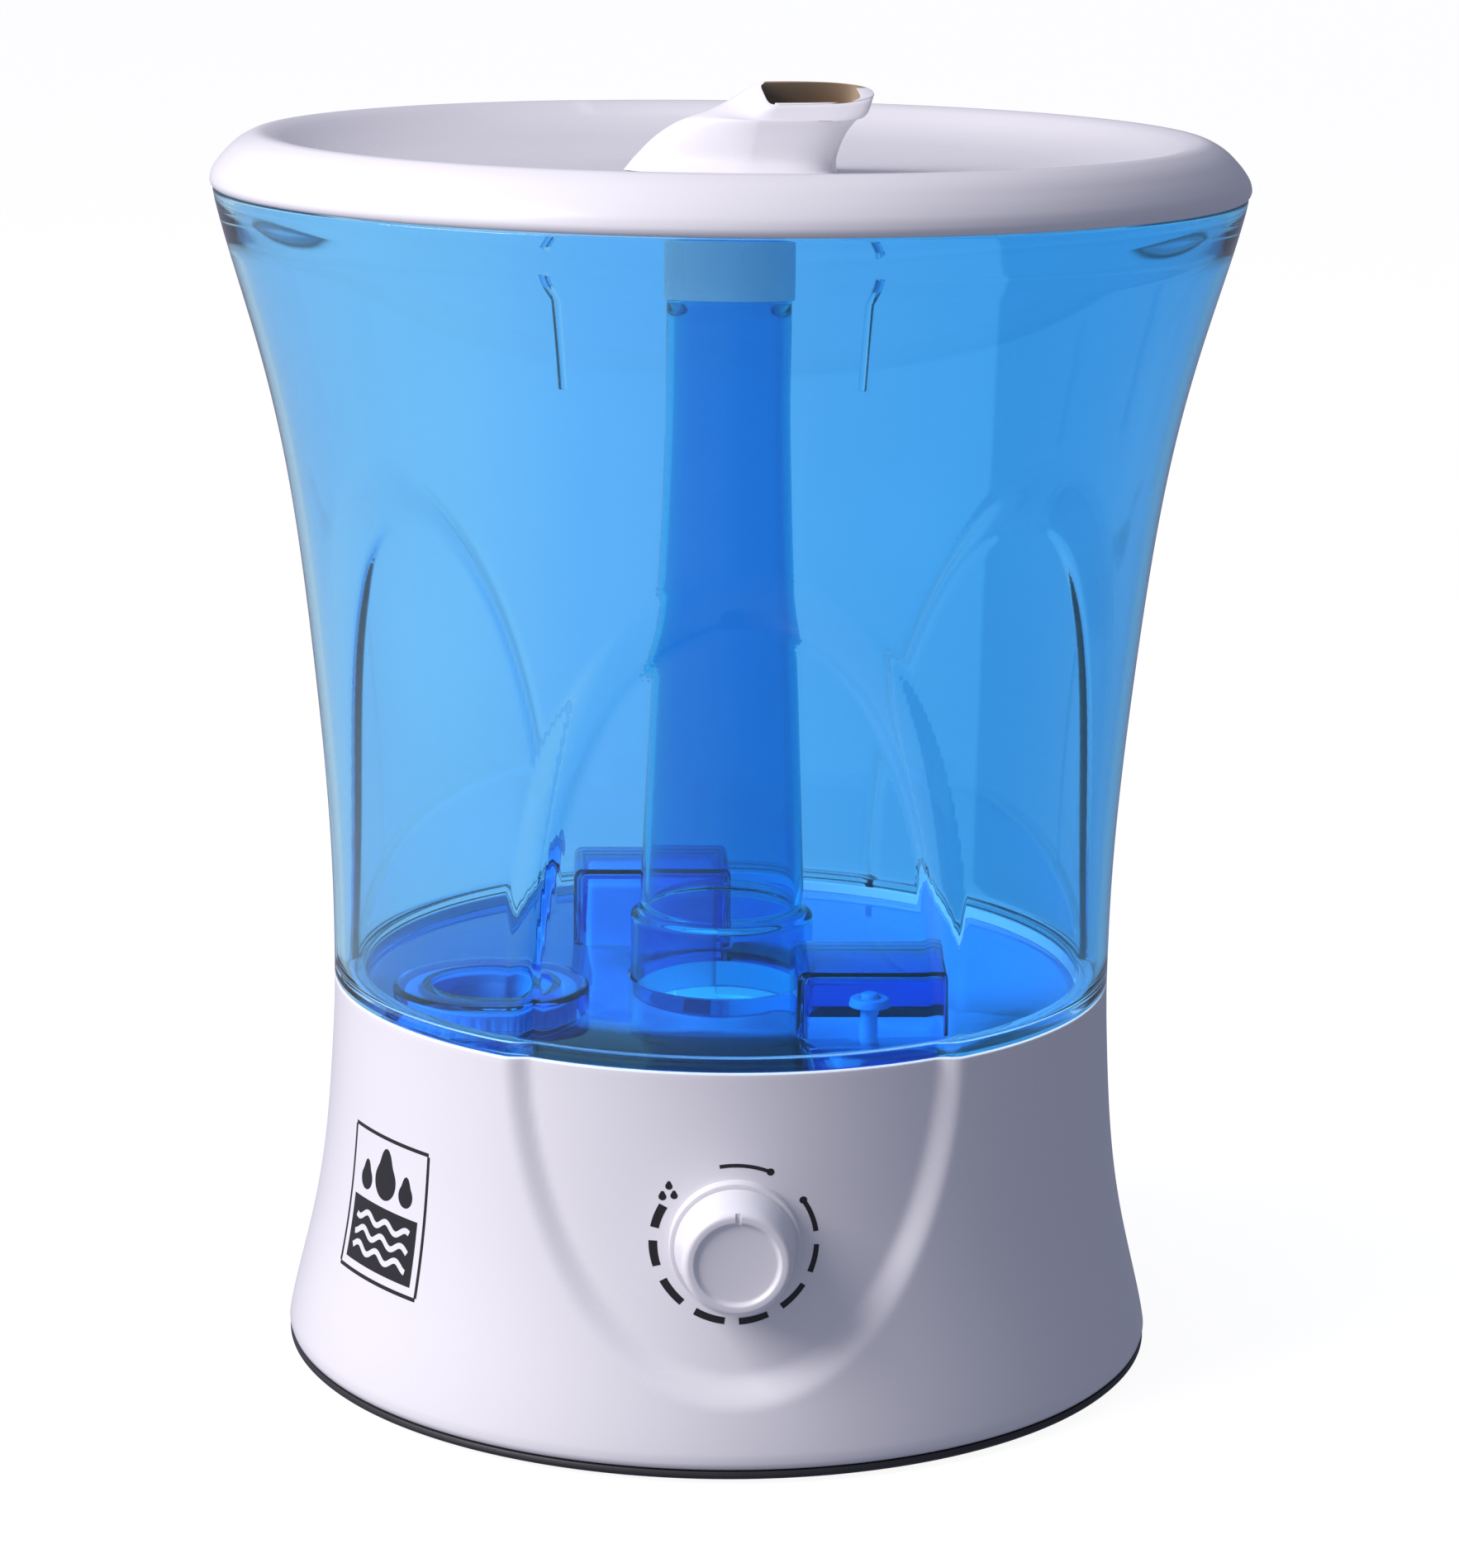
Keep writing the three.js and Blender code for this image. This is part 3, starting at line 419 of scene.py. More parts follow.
zo = np.concatenate([np.arange(105.0, 240, 1.25), np.arange(240, 312.5, 2.5)])
zi = np.concatenate([np.arange(300, 240, -2.5), np.arange(240, 109.5, -1.25)])
outline = soft([(98.9, 98.0, 0.4), (98.9, 102.8), (104.6, 102.8, 0.6), (tank_r(104.5), 104.5)])[:-1] + \
    [(tank_r(z), z) for z in zo] + \
    soft([(tank_r(312), 312), (134.3, 313.0, 0.5), (131.2, 313.0, 0.3), (131.2, 318.0, 0.8), (128.8, 318.0, 0.8), (128.8, 303.0, 1.0), (tank_r(300) - 2.6, 300)])[1:-1] + \
    [(tank_r(z) - 2.6, z) for z in zi] + \
    soft([(tank_r(109) - 2.6, 109), (101.9, 105.6, 1.6, 6), (96.5, 105.6, 0.5), (96.5, 98.0, 0.4), (98.9, 98.0)])[1:-1]
tank = lathe("tank_shell", outline, 480, press=tank_press, angle=50)
ribs = []
for a in (-22.5, 22.5):
    rib = block("rib", -0.9, 0.9, -2.1, 2.1, -31, 31, 0.45, 3)
    turn(rib, rot_z(a) @ Matrix.Translation(Vector((0, 120.6, 276)) * MM) @ Matrix.Rotation(-math.atan2(12, 56), 4, "X"))
    ribs.append(rib)
cut(tank, ribs, "UNION", 50)
stands_for(tank, "tank_wall")

# ------------------------------------------------------------------- tank floor
floor_outline = soft([(25.05, 98.2), (96.2, 98.2, 0.4), (96.2, 100.6, 0.4), (25.05, 100.6, 0.3)])
tfloor = lathe("tank_bottom", floor_outline, 240, angle=40)
CX, CY = -61.5, -32.4
cut(tfloor, [lathe("w", soft([(0, 98.3), (25.6, 98.3), (25.6, 107.5, 1.6, 6), (0, 107.5)], closed=False), 96, closed=False, move=(CX, CY, 0)),
             block("p", -40, 4, 29, 59, 98.3, 122, 2.4, 5), block("p", 17, 57, -63, -28, 98.3, 118, 2.4, 5)], "UNION", 40)
cut(tfloor, [rod("h", 23.7, 90, 105.6, CX, CY, 96), block("p", -38, 2, 31, 57, 90, 120, 1.4, 4), block("p", 19, 55, -61, -30, 90, 116, 1.4, 4)], "DIFFERENCE", 40)
cut(tfloor, [lathe("n", soft([(0, 95.5), (18.2, 95.5, 0.3), (18.2, 106.4), (0, 106.4)], closed=False), 96, closed=False, move=(CX, CY, 0))], "UNION", 40)
cut(tfloor, [rod("h", 16.0, 90, 110, CX, CY, 96), rod("h", 25.05, 90, 130, 0, 0, 120)], "DIFFERENCE", 40)
stands_for(tfloor, "tank_floor", MAT["deep_floor"])

# ------------------------------------------------------------------- mist tube
tube = lathe("riser_tube", soft([(24.7, 92.3, 0.4), (24.7, 118, 1.0, 5), (22.3, 119.4, 0.8, 4), (20, 175, 6, 5), (17.5, 223, 6, 5), (16.5, 254, 6, 5),
                                 (16.5, 287, 0.4), (14.6, 287), (14.6, 295, 0.4), (12.6, 295, 0.4), (12.6, 285, 1.5), (14.5, 280, 1.5), (14.5, 254, 6, 5),
                                 (15.5, 223, 6, 5), (18, 175, 6, 5), (20.2, 121, 1.0), (22.6, 117, 1.5), (22.6, 92.3, 0.4)]), 128, angle=40)
stands_for(tube, "mist_tube")

# ------------------------------------------------------------------------- lid
lid_pts = soft([(131.7, 313.4, 0.3), (134.3, 313.3, 0.9, 5), (135.2, 314.9, 1.2, 5), (134.7, 317.4, 1.6, 5), (132.7, 320.4, 2.0, 5), (128.4, 324.9, 3.4, 6),
                (123.0, 327.5, 3.2, 8), (118.6, 326.6, 3.2, 8), (108, 322.3, 6.0, 8), (96, 319.4, 7.0, 8), (80, 317.8, 8, 8), (60, 317.2, 8, 6), (15.4, 317.2, 0.6),
                (15.4, 303.2, 0.2), (16.0, 302.8, 0.2), (16.0, 287.4, 0.4), (17.2, 287.4, 0.4), (17.2, 314.9, 1.0), (60, 314.9), (80, 315.5, 4), (96, 317.1, 4),
                (108, 320.0, 4), (119.4, 324.3, 2), (124.6, 323.9, 2), (131.0, 319.0, 1.5), (131.7, 316.6, 0.8)])


def lid_press(az, r, z):
    # low finger lip in the back of the rim
    if r[0] < 112 or z < 322.4:
        return r
    d = np.abs((az - 180 + 180) % 360 - 180)
    k = np.clip((19.5 - d) / 1.6, 0, 1)
    k = k * k * (3 - 2 * k)
    return r - 0.9 * k * np.clip((z - 322.4) / 3.0, 0, 1)


lid = lathe("lid_shell", lid_pts, 360, press=lid_press, angle=40)
stands_for(lid, "lid_dish", MAT["white_lid"])

# ---------------------------------------------------------------------- nozzle
MU, MV = (0.9995, -0.02, 0.02), (-0.32, 0.77, 0.55)
MDU, MDV = (0.998, -0.04, 0), (-0.2, 0.87, 0.45)
X, Y = (1, 0, 0), (0, 1, 0)
# centre, half width left and right, half depth, power left and right, two directions
OUTER = [((5, 0, 317.5), 33, 22.6, 16.6, 1.6, 3, X, Y),
         ((5, -0.2, 318.7), 32.0, 22.4, 13.6, 1.5, 3.2, X, Y),
         ((5.1, -1.2, 321.5), 29.8, 22.2, 10.6, 1.4, 3.8, X, Y),
         ((5.8, -2.6, 326.8), 25.2, 23.2, 9.5, 1.4, 4.4, X, Y),
         ((7.2, -4.2, 331.2), 19.4, 24.8, 8.5, 1.5, 4.4, X, Y),
         ((9.2, -5.8, 334.8), 9.4, 25.2, 7.0, 2.2, 4, MDU, MDV),
         ((11, -7.4, 338.2), 2.4, 25.3, 5.0, 4, 2.4, MU, MV)]
INNER = [((0, 0, 316.5), 12.7, 12.7, 12.7, 2, 2, X, Y),
         ((1.5, -0.2, 318.7), 13.8, 17, 11.4, 2, 2.2, X, Y),
         ((4, -1.2, 321.5), 17, 19.8, 8.6, 1.8, 2.8, X, Y),
         ((5.6, -2.6, 326.8), 16, 21.2, 7.8, 1.7, 3.6, X, Y),
         ((7.2, -4.2, 331.2), 12.0, 22.8, 6.8, 1.8, 3.8, X, Y),
         ((9.2, -5.8, 334.8), 6.2, 22.8, 5.5, 2.2, 3.6, MDU, MDV),
         ((11, -7.7, 338.7), 1.5, 21.4, 4.1, 5, 4.2, MU, MV)]


def ring_points(s, seg):
    c, hl, hx, hy, nl, n, u, v = s
    t = np.linspace(0, 2 * math.pi, seg, endpoint=False)
    co, si = np.cos(t), np.sin(t)
    # even steps along a super-ellipse whose left half has its own width and power
    e = np.where(co < 0, 2.0 / nl, 2.0 / n)
    px = np.sign(co) * np.abs(co) ** e * np.where(co < 0, hl, hx)
    py = np.sign(si) * np.abs(si) ** e * hy
    return np.array(c, float) + np.outer(px, u) + np.outer(py, v)


def blend_sections(sections, steps):
    """Smooth Catmull-Rom interpolation of the sections."""
    flat = np.array([[*s[0], *s[1:6], *s[6], *s[7]] for s in sections], float)
    ext = np.vstack([2 * flat[0] - flat[1], flat, 2 * flat[-1] - flat[-2]])
    out = []
    for i in range(1, len(ext) - 2):
        for s in np.linspace(0, 1, steps, endpoint=False):
            a, b, c, d = ext[i - 1], ext[i], ext[i + 1], ext[i + 2]
            out.append(0.5 * (2 * b + (c - a) * s + (2 * a - 5 * b + 4 * c - d) * s * s + (3 * b - a - 3 * c + d) * s ** 3))
    out.append(ext[-2])
    return [(tuple(q[:3]), q[3], q[4], q[5], q[6], q[7], tuple(q[8:11]), tuple(q[11:14])) for q in out]


def superloft(name, sections, seg=160):
    rows = [np.array([sections[0][0]])]
    for s in sections:
        rows.append(ring_points(s, seg))
    rows.append(np.array([sections[-1][0]]))
    return rows_to_mesh(name, rows, False, 40)


out_s = blend_sections(OUTER, 7)
# soften the lip of the mouth
c, hl, hx, hy, nl, n, u, v = out_s[-1]
w = np.cross(np.array(u), np.array(v))
w = w / np.linalg.norm(w)
out_s[-1] = (tuple(np.array(c) - 0.35 * w), hl, hx, hy, nl, n, u, v)
out_s += [(tuple(np.array(c) - 0.1 * w), hl - 0.1, hx - 0.1, hy - 0.1, nl, n, u, v), (tuple(np.array(c)), hl - 0.3, hx - 0.3, hy - 0.3, nl, n, u, v)]
nozzle = superloft("nozzle_shell", out_s)
stem = lathe("stem", soft([(0, 298.4), (14.9, 298.4, 0.4), (14.9, 299.8), (13.9, 299.8), (13.9, 302.6), (14.9, 302.6), (14.9, 317.9), (0, 317.9)], closed=False), 96, closed=False)
cut(nozzle, [stem], "UNION", 40)
cut(nozzle, [superloft("bore", blend_sections(INNER, 6), 128), rod("bore2", 12.6, 296, 317.2, 0, 0, 96)], "DIFFERENCE", 40)
stands_for(nozzle, "mist_nozzle")
# painted shade: the inside of the spout gets a darker brown material that stands in for the shade and warm reflection
# inside the mouth
nozzle.data.materials.append(MAT["spout_painted_shade"])
mid = np.array([[*q[0]] for q in blend_sections(INNER, 6)])
for poly in nozzle.data.polygons:
    c0 = np.array(poly.center) / MM
    if c0[2] < 318.6:
        continue
    k = int(np.argmin(np.abs(mid[:, 2] - c0[2])))
    toward = np.array([mid[k][0] + 8.0, mid[k][1], c0[2]]) - c0
    if float(np.dot(toward[:2], np.array(poly.normal)[:2])) > 1.0:
        poly.material_index = 1

# ------------------------------------------------------------------------ knob
knob = turned_y("dial_knob", soft([(0, -116.0), (3.1, -116.0), (3.1, -111.2), (9.6, -111.2), (9.6, -106.2), (15.4, -106.2, 0.3), (15.3, -107.6, 0.6), (13.75, -118.4, 0.8, 5),
                                   (12.7, -119.6, 0.6, 5), (10.9, -119.6, 0.35), (10.1, -118.6, 0.5), (0, -118.6)], closed=False), 0, 58.8, 128, closed=False)
notch = block("notch", -0.75, 0.75, -121, -118.9, 58.8 + 10.2, 58.8 + 14.5, 0.15, 2)
cut(knob, [notch], "DIFFERENCE", 32)
stands_for(knob, "control_knob")
shaft = turned_y("dial_shaft", soft([(0, -115.6), (2.9, -115.6, 0.4), (2.9, -94.2, 0.4), (0, -94.2)], closed=False), 0, 58.8, 48, closed=False)
stands_for(shaft, "knob_shaft")


# --------------------------------------------------------- print on the housing
def skin_y(x, z, lift):
    """Front surface of the housing at x, z (arrays), pushed out by lift."""
    y = -np.full_like(x, 104.0)
    for _ in range(4):
        az = np.degrees(np.arctan2(x, -y))
        rs = np.array([base_r(zz) - float(recess(np.array([aa]), zz)[0]) for aa, zz in zip(az, z)]) + lift
        y = -np.sqrt(np.maximum(1.0, rs * rs - x * x))
    return y


def print_piece(name, patches, place, high=0.055, low=-0.05):
    """Thin raised print: patches are (points2d, faces), place maps 2-D points and a lift to space."""
    verts, faces = [], []
    for pts, fs in patches:
        pts = np.asarray(pts, float)
        k = len(verts)
        n = len(pts)
        verts.extend(place(pts, high).tolist())
        verts.extend(place(pts, low).tolist())
        edges = {}
        for f in fs:
            faces.append(tuple(k + i for i in f))
            faces.append(tuple(k + n + i for i in reversed(f)))
            for a, b in zip(f, f[1:] + f[:1]):
                edges[(a, b)] = edges.get((a, b), 0) + 1
        for (a, b) in edges:
            if (b, a) not in edges:
                faces.append((k + b, k + a, k + n + a, k + n + b))
    return mesh_object(name, verts, faces, 30)


def strip(path, widths):
    """Band along a 2-D path."""
    p = np.asarray(path, float)
    t = np.gradient(p, axis=0)
    t /= np.linalg.norm(t, axis=1)[:, None]
    nrm = np.stack([-t[:, 1], t[:, 0]], 1)
    w = np.asarray(widths, float)[:, None] / 2
    pts = np.vstack([p + nrm * w, p - nrm * w])
    n = len(p)
    return pts, [(i, n + i, n + i + 1, i + 1) for i in range(n - 1)]


def disc(cx, cy, r, seg=16, squeeze=None):
    """Filled round or drop outline as rings round a middle quad."""
    t = np.linspace(0, 2 * math.pi, seg, endpoint=False)
    rr = np.full(seg, r) if squeeze is None else squeeze(t) * r
    rings = [np.stack([cx + rr * k * np.cos(t), cy + rr * k * np.sin(t)], 1) for k in (0.34, 0.67, 1.0)]
    pts = np.vstack([[[cx, cy]], *rings])
    fs = [(0, 1 + i, 1 + (i + 1) % seg) for i in range(seg)]
    for k in range(2):
        a, b = 1 + k * seg, 1 + (k + 1) * seg
        fs += [(a + i, b + i, b + (i + 1) % seg, a + (i + 1) % seg) for i in range(seg)]
    return pts, fs


def drop_shape(t):
    # point up
    a = (t - math.pi / 2 + math.pi) % (2 * math.pi) - math.pi
    return 1.0 + 0.75 * np.exp(-(a / 0.42) ** 2)


def dial_place(pts, lift):
    x, z = pts[:, 0], pts[:, 1] * 0.945 + 58.8
    return np.stack([x, skin_y(x, z, lift), z], 1)


def dash(a0, a1, w0, w1, r=20.6):
    n = max(6, int(abs(a1 - a0) / 2.2))
    a = np.radians(np.linspace(a0, a1, n))
    return strip(np.stack([r * np.sin(a), r * np.cos(a)], 1), np.linspace(w0, w1, n))


patches = [dash(-11, 23, 1.0, 1.0, 21.4), disc(21.4 * math.sin(math.radians(24)), 21.4 * math.cos(math.radians(24)), 1.0, 14)]
widths = [1.2, 1.3, 1.45, 1.65, 1.8, 1.95, 2.1, 2.2, 2.3]
for (a0, a1), w0, w1 in zip([(57, 82), (92, 113), (123, 145), (156, 177), (187, 209), (220, 241), (252, 271), (281, 299)], widths, widths[1:]):
    patches.append(dash(a0, a1, w0, w1))
patches.append(disc(20.6 * math.sin(math.radians(56)), 20.6 * math.cos(math.radians(56)), 1.0, 14))
ix, iz = 21.6 * math.sin(math.radians(309)), 21.6 * math.cos(math.radians(309))
for dx, dz, r in ((-1.5, -1.2, 1.0), (1.4, -0.8, 0.92), (0.1, 1.7, 0.92)):
    patches.append(disc(ix + dx, iz + dz, r, 14, drop_shape))
marks = print_piece("dial_print", patches, dial_place)
marks.data.materials.append(MAT["ink"])
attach(marks, "base")

# plain badge: framed drop over three waves
BADGE_AZ, BADGE_Z = -56.5, 53.0
W, H = 18.0, 19.0


def badge_place(pts, lift):
    z = pts[:, 1] + BADGE_Z
    rs = np.array([base_r(zz) for zz in z]) + lift
    a = np.radians(BADGE_AZ) + pts[:, 0] / 108.0
    return np.stack([rs * np.sin(a), -rs * np.cos(a), z], 1)


def line(p0, p1, w, n=8):
    s = np.linspace(0, 1, n)[:, None]
    return strip(np.array(p0) * (1 - s) + np.array(p1) * s, np.full(n, w))


badge = [line((-W, -H), (W, -H), 1.0, 24), line((-W, H), (W, H), 1.0, 24), line((-W, -H + 0.5), (-W, H - 0.5), 1.0, 24), line((W, -H + 0.5), (W, H - 0.5), 1.0, 24)]
badge.append(disc(0, 7.6, 5.0, 48, drop_shape))
for dx in (-9.6, 9.6):
    badge.append(disc(dx, 6.0, 3.0, 36, drop_shape))
gx, gz = np.meshgrid(np.linspace(-15.4, 15.4, 33), np.linspace(-16.4, 0.6, 19))
panel = np.stack([gx.ravel(), gz.ravel()], 1)
badge.append((panel, [(j * 33 + i, j * 33 + i + 1, (j + 1) * 33 + i + 1, (j + 1) * 33 + i) for j in range(18) for i in range(32)]))
mark = print_piece("badge_print", badge, badge_place)
mark.data.materials.append(MAT["ink"])
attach(mark, "base")
waves = []
for k, zc in enumerate((-3.6, -7.9, -12.2)):
    s = np.linspace(-12.6, 12.6, 60)
    waves.append(strip(np.stack([s, zc + 1.0 * np.sin(s * 2 * math.pi / 9.0 + k)], 1), np.full(60, 1.5)))
wave_print = print_piece("badge_waves", waves, badge_place, 0.12, 0.03)
wave_print.data.materials.append(MAT["white_ink"])
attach(wave_print, "base")

# ---------------------------------------------------------------- bottom cover
cover = lathe("cover_plate", soft([(0, 1.2), (116.6, 1.2, 0.3), (117.6, 2.2, 0.5), (117.2, 3.4, 0.3), (113.0, 3.4), (113.0, 6.6, 0.3), (111.2, 6.6, 0.3), (111.2, 3.4), (0, 3.4)], closed=False),
              240, closed=False, angle=40)
ups, downs, last = [], [], []
for a in (45, 135, 225, 315):
    x, y = 90 * math.sin(math.radians(a)), -90 * math.cos(math.radians(a))
    downs.append(rod("h", 8.35, 0, 2.3, x, y, 48))
for a in (60, 300, 192):
    x, y = 103 * math.sin(math.radians(a)), -103 * math.cos(math.radians(a))
    ups.append(rod("b", 5.6, 2.6, 5.5, x, y, 40, 0.4))
    downs += [rod("h", 3.8, 0, 3.7, x, y, 32), rod("h", 1.9, 3.0, 8, x, y, 24)]
FX, FY = -18, 44
for sx, sy in ((-1, -1), (1, -1), (-1, 1), (1, 1)):
    ups.append(rod("b", 3.4, 2.6, 7.7, FX + sx * 25, FY + sy * 25, 32, 0.3))
    downs.append(rod("h", 1.7, 4.6, 9, FX + sx * 25, FY + sy * 25, 24))
for i in range(-3, 4):
    half = math.sqrt(max(0.0, 24 * 24 - (i * 6) ** 2))
    downs.append(block("s", FX - half, FX + half, FY + i * 6 - 1.6, FY + i * 6 + 1.6, 0, 5, 1.55, 5, only_upright=True))
for x, y in ((34, -22), (82, -22), (34, 14), (82, 14), (30, 34), (74, 34), (30, 66), (74, 66)):
    ups.append(rod("b", 2.6, 2.6, 11.7, x, y, 24, 0.3))
cut(cover, ups, "UNION", 40)
cut(cover, downs, "DIFFERENCE", 40)
stands_for(cover, "bottom_cover")

for i, a in enumerate((45, 135, 225, 315)):
    x, y = 90 * math.sin(math.radians(a)), -90 * math.cos(math.radians(a))
    foot = lathe(f"foot_{i + 1}", soft([(0, 0.25), (3.2, 0.25, 0.2), (3.7, 0.0, 0.2), (7.2, 0.0, 0.5, 4), (8.0, 0.8, 0.4, 4), (8.0, 2.0, 0.2), (0, 2.0)], closed=False), 64, closed=False, move=(x, y, 0))
    stands_for(foot, f"rubber_foot_{i + 1}")


def screw(name, node, pts, x, y, head_z, down, head_r):
    """Pan head screw with a cross recess."""
    s = lathe(name, soft(pts, closed=False), 40, closed=False, move=(x, y, 0))
    d = 0.8
    z0, z1 = (head_z - 0.2, head_z + d) if down else (head_z - d, head_z + 0.2)
    arms = [block("a", x - head_r * 0.55, x + head_r * 0.55, y - 0.35, y + 0.35, z0, z1, 0.0),
            block("a", x - 0.35, x + 0.35, y - head_r * 0.55, y + head_r * 0.55, z0, z1, 0.0)]
    cut(s, arms, "DIFFERENCE", 32)
    stands_for(s, node)


for i, a in enumerate((60, 300, 192)):
    x, y = 103 * math.sin(math.radians(a)), -103 * math.cos(math.radians(a))
    screw(f"cover_screw_{i + 1}", f"bottom_screw_{i + 1}", [(0, 1.4), (3.3, 1.4, 0.9), (3.3, 3.3, 0.2), (1.5, 3.3), (1.5, 15.5), (0, 17.5)], x, y, 1.4, True, 3.3)
for i, a in enumerate((10, 130, 250)):
    x, y = 18.1 * math.sin(math.radians(a)), -18.1 * math.cos(math.radians(a))
    screw(f"clamp_screw_{i + 1}", f"transducer_screw_{i + 1}", [(0, 50.7), (2.4, 50.7, 0.6), (2.4, 52.3, 0.15), (1.2, 52.3), (1.2, 58.2), (0, 58.9)], x, y, 50.7, True, 2.4)
for i, (sx, sy) in enumerate(((-1, -1), (1, 1))):
    screw(f"fan_bolt_{i + 1}", f"fan_screw_{i + 1}", [(0, 5.2), (1.4, 6.2), (1.4, 23.3), (2.9, 23.3, 0.2), (2.9, 25.2, 0.7), (0, 25.2)], FX + sx * 25, FY + sy * 25, 25.2, False, 2.9)

# ------------------------------------------------------------------ water basin
basin = lathe("basin_shell", soft([(12.5, 58), (21.2, 58, 0.5), (21.2, 66), (95.6, 66, 1.2), (95.6, 95.3), (99.0, 95.3, 0.3), (99.0, 97.7, 0.7), (93.5, 97.7, 1.0), (93.5, 68.4, 2.5, 6),
                                   (21.2, 68.4, 1.0), (21.2, 91.0, 0.6), (19.2, 91.0, 0.6), (19.2, 60.4, 1.2), (12.5, 60.4, 0.6)]), 240, angle=40)
cut(basin, [block("t", -36, 0, 33, 55, 66.2, 117.5, 1.6, 4), block("b", -12, 0, 17.4, 34, 75, 90.8, 0.5, 3)], "UNION", 40)
basin_cuts = [block("t", -34, -2, 35, 53, 60, 115.5, 0.8, 3), block("b", -10, -2, 12, 37, 77, 88.8, 0.3, 2)]
for a in (40, 270, 330):
    basin_cuts.append(turn(block("w", -4, 4, -25, -15, 68.5, 74.5, 0.8, 3), rot_z(a)))
cut(basin, basin_cuts, "DIFFERENCE", 40)
basin_ups, basin_downs = [rod("p", 3.6, 67, 80.6, CX, CY, 40, 0.8), rod("p", 2.4, 67, 108.4, 37, -45, 40, 0.8)], []
for a in (10, 130, 250):
    x, y = 18.1 * math.sin(math.radians(a)), -18.1 * math.cos(math.radians(a))
    basin_ups.append(rod("p", 2.9, 54.7, 58.6, x, y, 28))
    basin_downs.append(rod("p", 1.5, 54, 59.6, x, y, 20))
cut(basin, basin_ups, "UNION", 40)
cut(basin, basin_downs, "DIFFERENCE", 40)
stands_for(basin, "water_basin")

# ------------------------------------------------------------- transducer stack
stands_for(lathe("disc_seal", soft([(8.0, 57.7, 0.2), (14.0, 57.7, 0.3), (14.0, 54.6, 0.3), (10.5, 54.6, 0.2), (10.5, 57.0), (8.0, 57.0, 0.2)]), 72), "transducer_gasket")
stands_for(lathe("piezo_disc", soft([(0, 55.6), (10.1, 55.6, 0.2), (10.1, 56.7, 0.2), (8.4, 56.7), (8.2, 56.62), (0, 56.62)], closed=False), 72, closed=False), "transducer_disc")
clamp = lathe("clamp_ring", soft([(7.0, 52.6, 0.2), (20.8, 52.6, 0.3), (20.8, 54.3, 0.3), (7.0, 54.3, 0.2)]), 96)
cut(clamp, [rod("h", 1.6, 50, 56, 18.1 * math.sin(math.radians(a)), -18.1 * math.cos(math.radians(a)), 24) for a in (10, 130, 250)], "DIFFERENCE")
stands_for(clamp, "transducer_ring")

# ------------------------------------------------------------- filler cap, valve
cap_pts = soft([(2.3, 90.8, 0.2), (20.8, 90.8, 0.3), (22.3, 92.3, 0.5), (22.3, 104.6, 0.6), (18.8, 104.6, 0.6), (18.8, 93.3, 0.6), (2.3, 93.3, 0.3)])


def cap_grip(az, r, z):
    # shallow finger flutes round the skirt
    if r[0] < 22.0 or not 94 < z < 104:
        return r
    return r - 0.28 * np.clip(np.cos(np.radians(az * 36)), 0, 1)


dense = []
for (r0, z0), (r1, z1) in zip(cap_pts, cap_pts[1:] + cap_pts[:1]):
    dense.append((r0, z0))
    if abs(r0 - 22.3) < 1e-6 and abs(r1 - 22.3) < 1e-6 and abs(z1 - z0) > 4:
        for s in np.linspace(0, 1, 9)[1:-1]:
            dense.append((22.3, z0 + (z1 - z0) * s))
cap = lathe("tank_cap", dense, 288, move=(CX, CY, 0), press=cap_grip, angle=40)
cut(cap, [rod("h", 1.9, 88, 96, CX + 6.6 * math.cos(i * 2 * math.pi / 5), CY + 6.6 * math.sin(i * 2 * math.pi / 5), 24) for i in range(5)], "DIFFERENCE", 40)
stands_for(cap, "filler_cap")
stands_for(lathe("cap_seal", soft([(16.2, 93.6, 0.4), (18.4, 93.6, 0.4), (18.4, 95.2, 0.4), (16.2, 95.2, 0.4)]), 96, move=(CX, CY, 0)), "cap_gasket")
stands_for(lathe("plunger", soft([(0, 84.2), (4.6, 84.2, 0.3), (5.0, 84.6, 0.3), (5.0, 85.7, 0.3), (1.8, 85.7, 0.4), (1.8, 95.9), (3.2, 95.9, 0.2), (2.6, 97.6, 0.5), (0, 98.0)], closed=False),
                 64, closed=False, move=(CX, CY, 0)), "valve_plunger")
stands_for(lathe("valve_washer", soft([(2.1, 93.6, 0.3), (10.4, 93.6, 0.5), (10.4, 95.6, 0.5), (2.1, 95.6, 0.3)]), 80, move=(CX, CY, 0)), "valve_seal")

# coil spring, squashed as the valve is pushed
turns, rad, wire = 3.5, 3.4, 0.32
n = 150
rows = []
for i in range(n + 1):
    s = i / n
    a = s * turns * 2 * math.pi
    c = np.array([rad * math.cos(a), rad * math.sin(a), 86.5 + (90.1 - 86.5) * s])
    e1 = np.array([math.cos(a), math.sin(a), 0.0])
    tg = np.array([-rad * math.sin(a), rad * math.cos(a), 3.6 / (turns * 2 * math.pi)])
    tg /= np.linalg.norm(tg)
    e2 = np.cross(tg, e1)
    k = np.linspace(0, 2 * math.pi, 12, endpoint=False)
    ring = c + wire * (np.outer(np.cos(k), e1) + np.outer(np.sin(k), e2))
    if i == 0:
        rows.append(c[None, :])
    rows.append(ring)
    if i == n:
        rows.append(c[None, :])
spring = rows_to_mesh("return_spring", rows, False, 50)
spring.data.transform(Matrix.Translation(Vector((CX, CY, 0)) * MM))
spring.data.materials.append(MAT["steel"])
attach(spring, BODY["valve_spring"])
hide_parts("valve_spring")

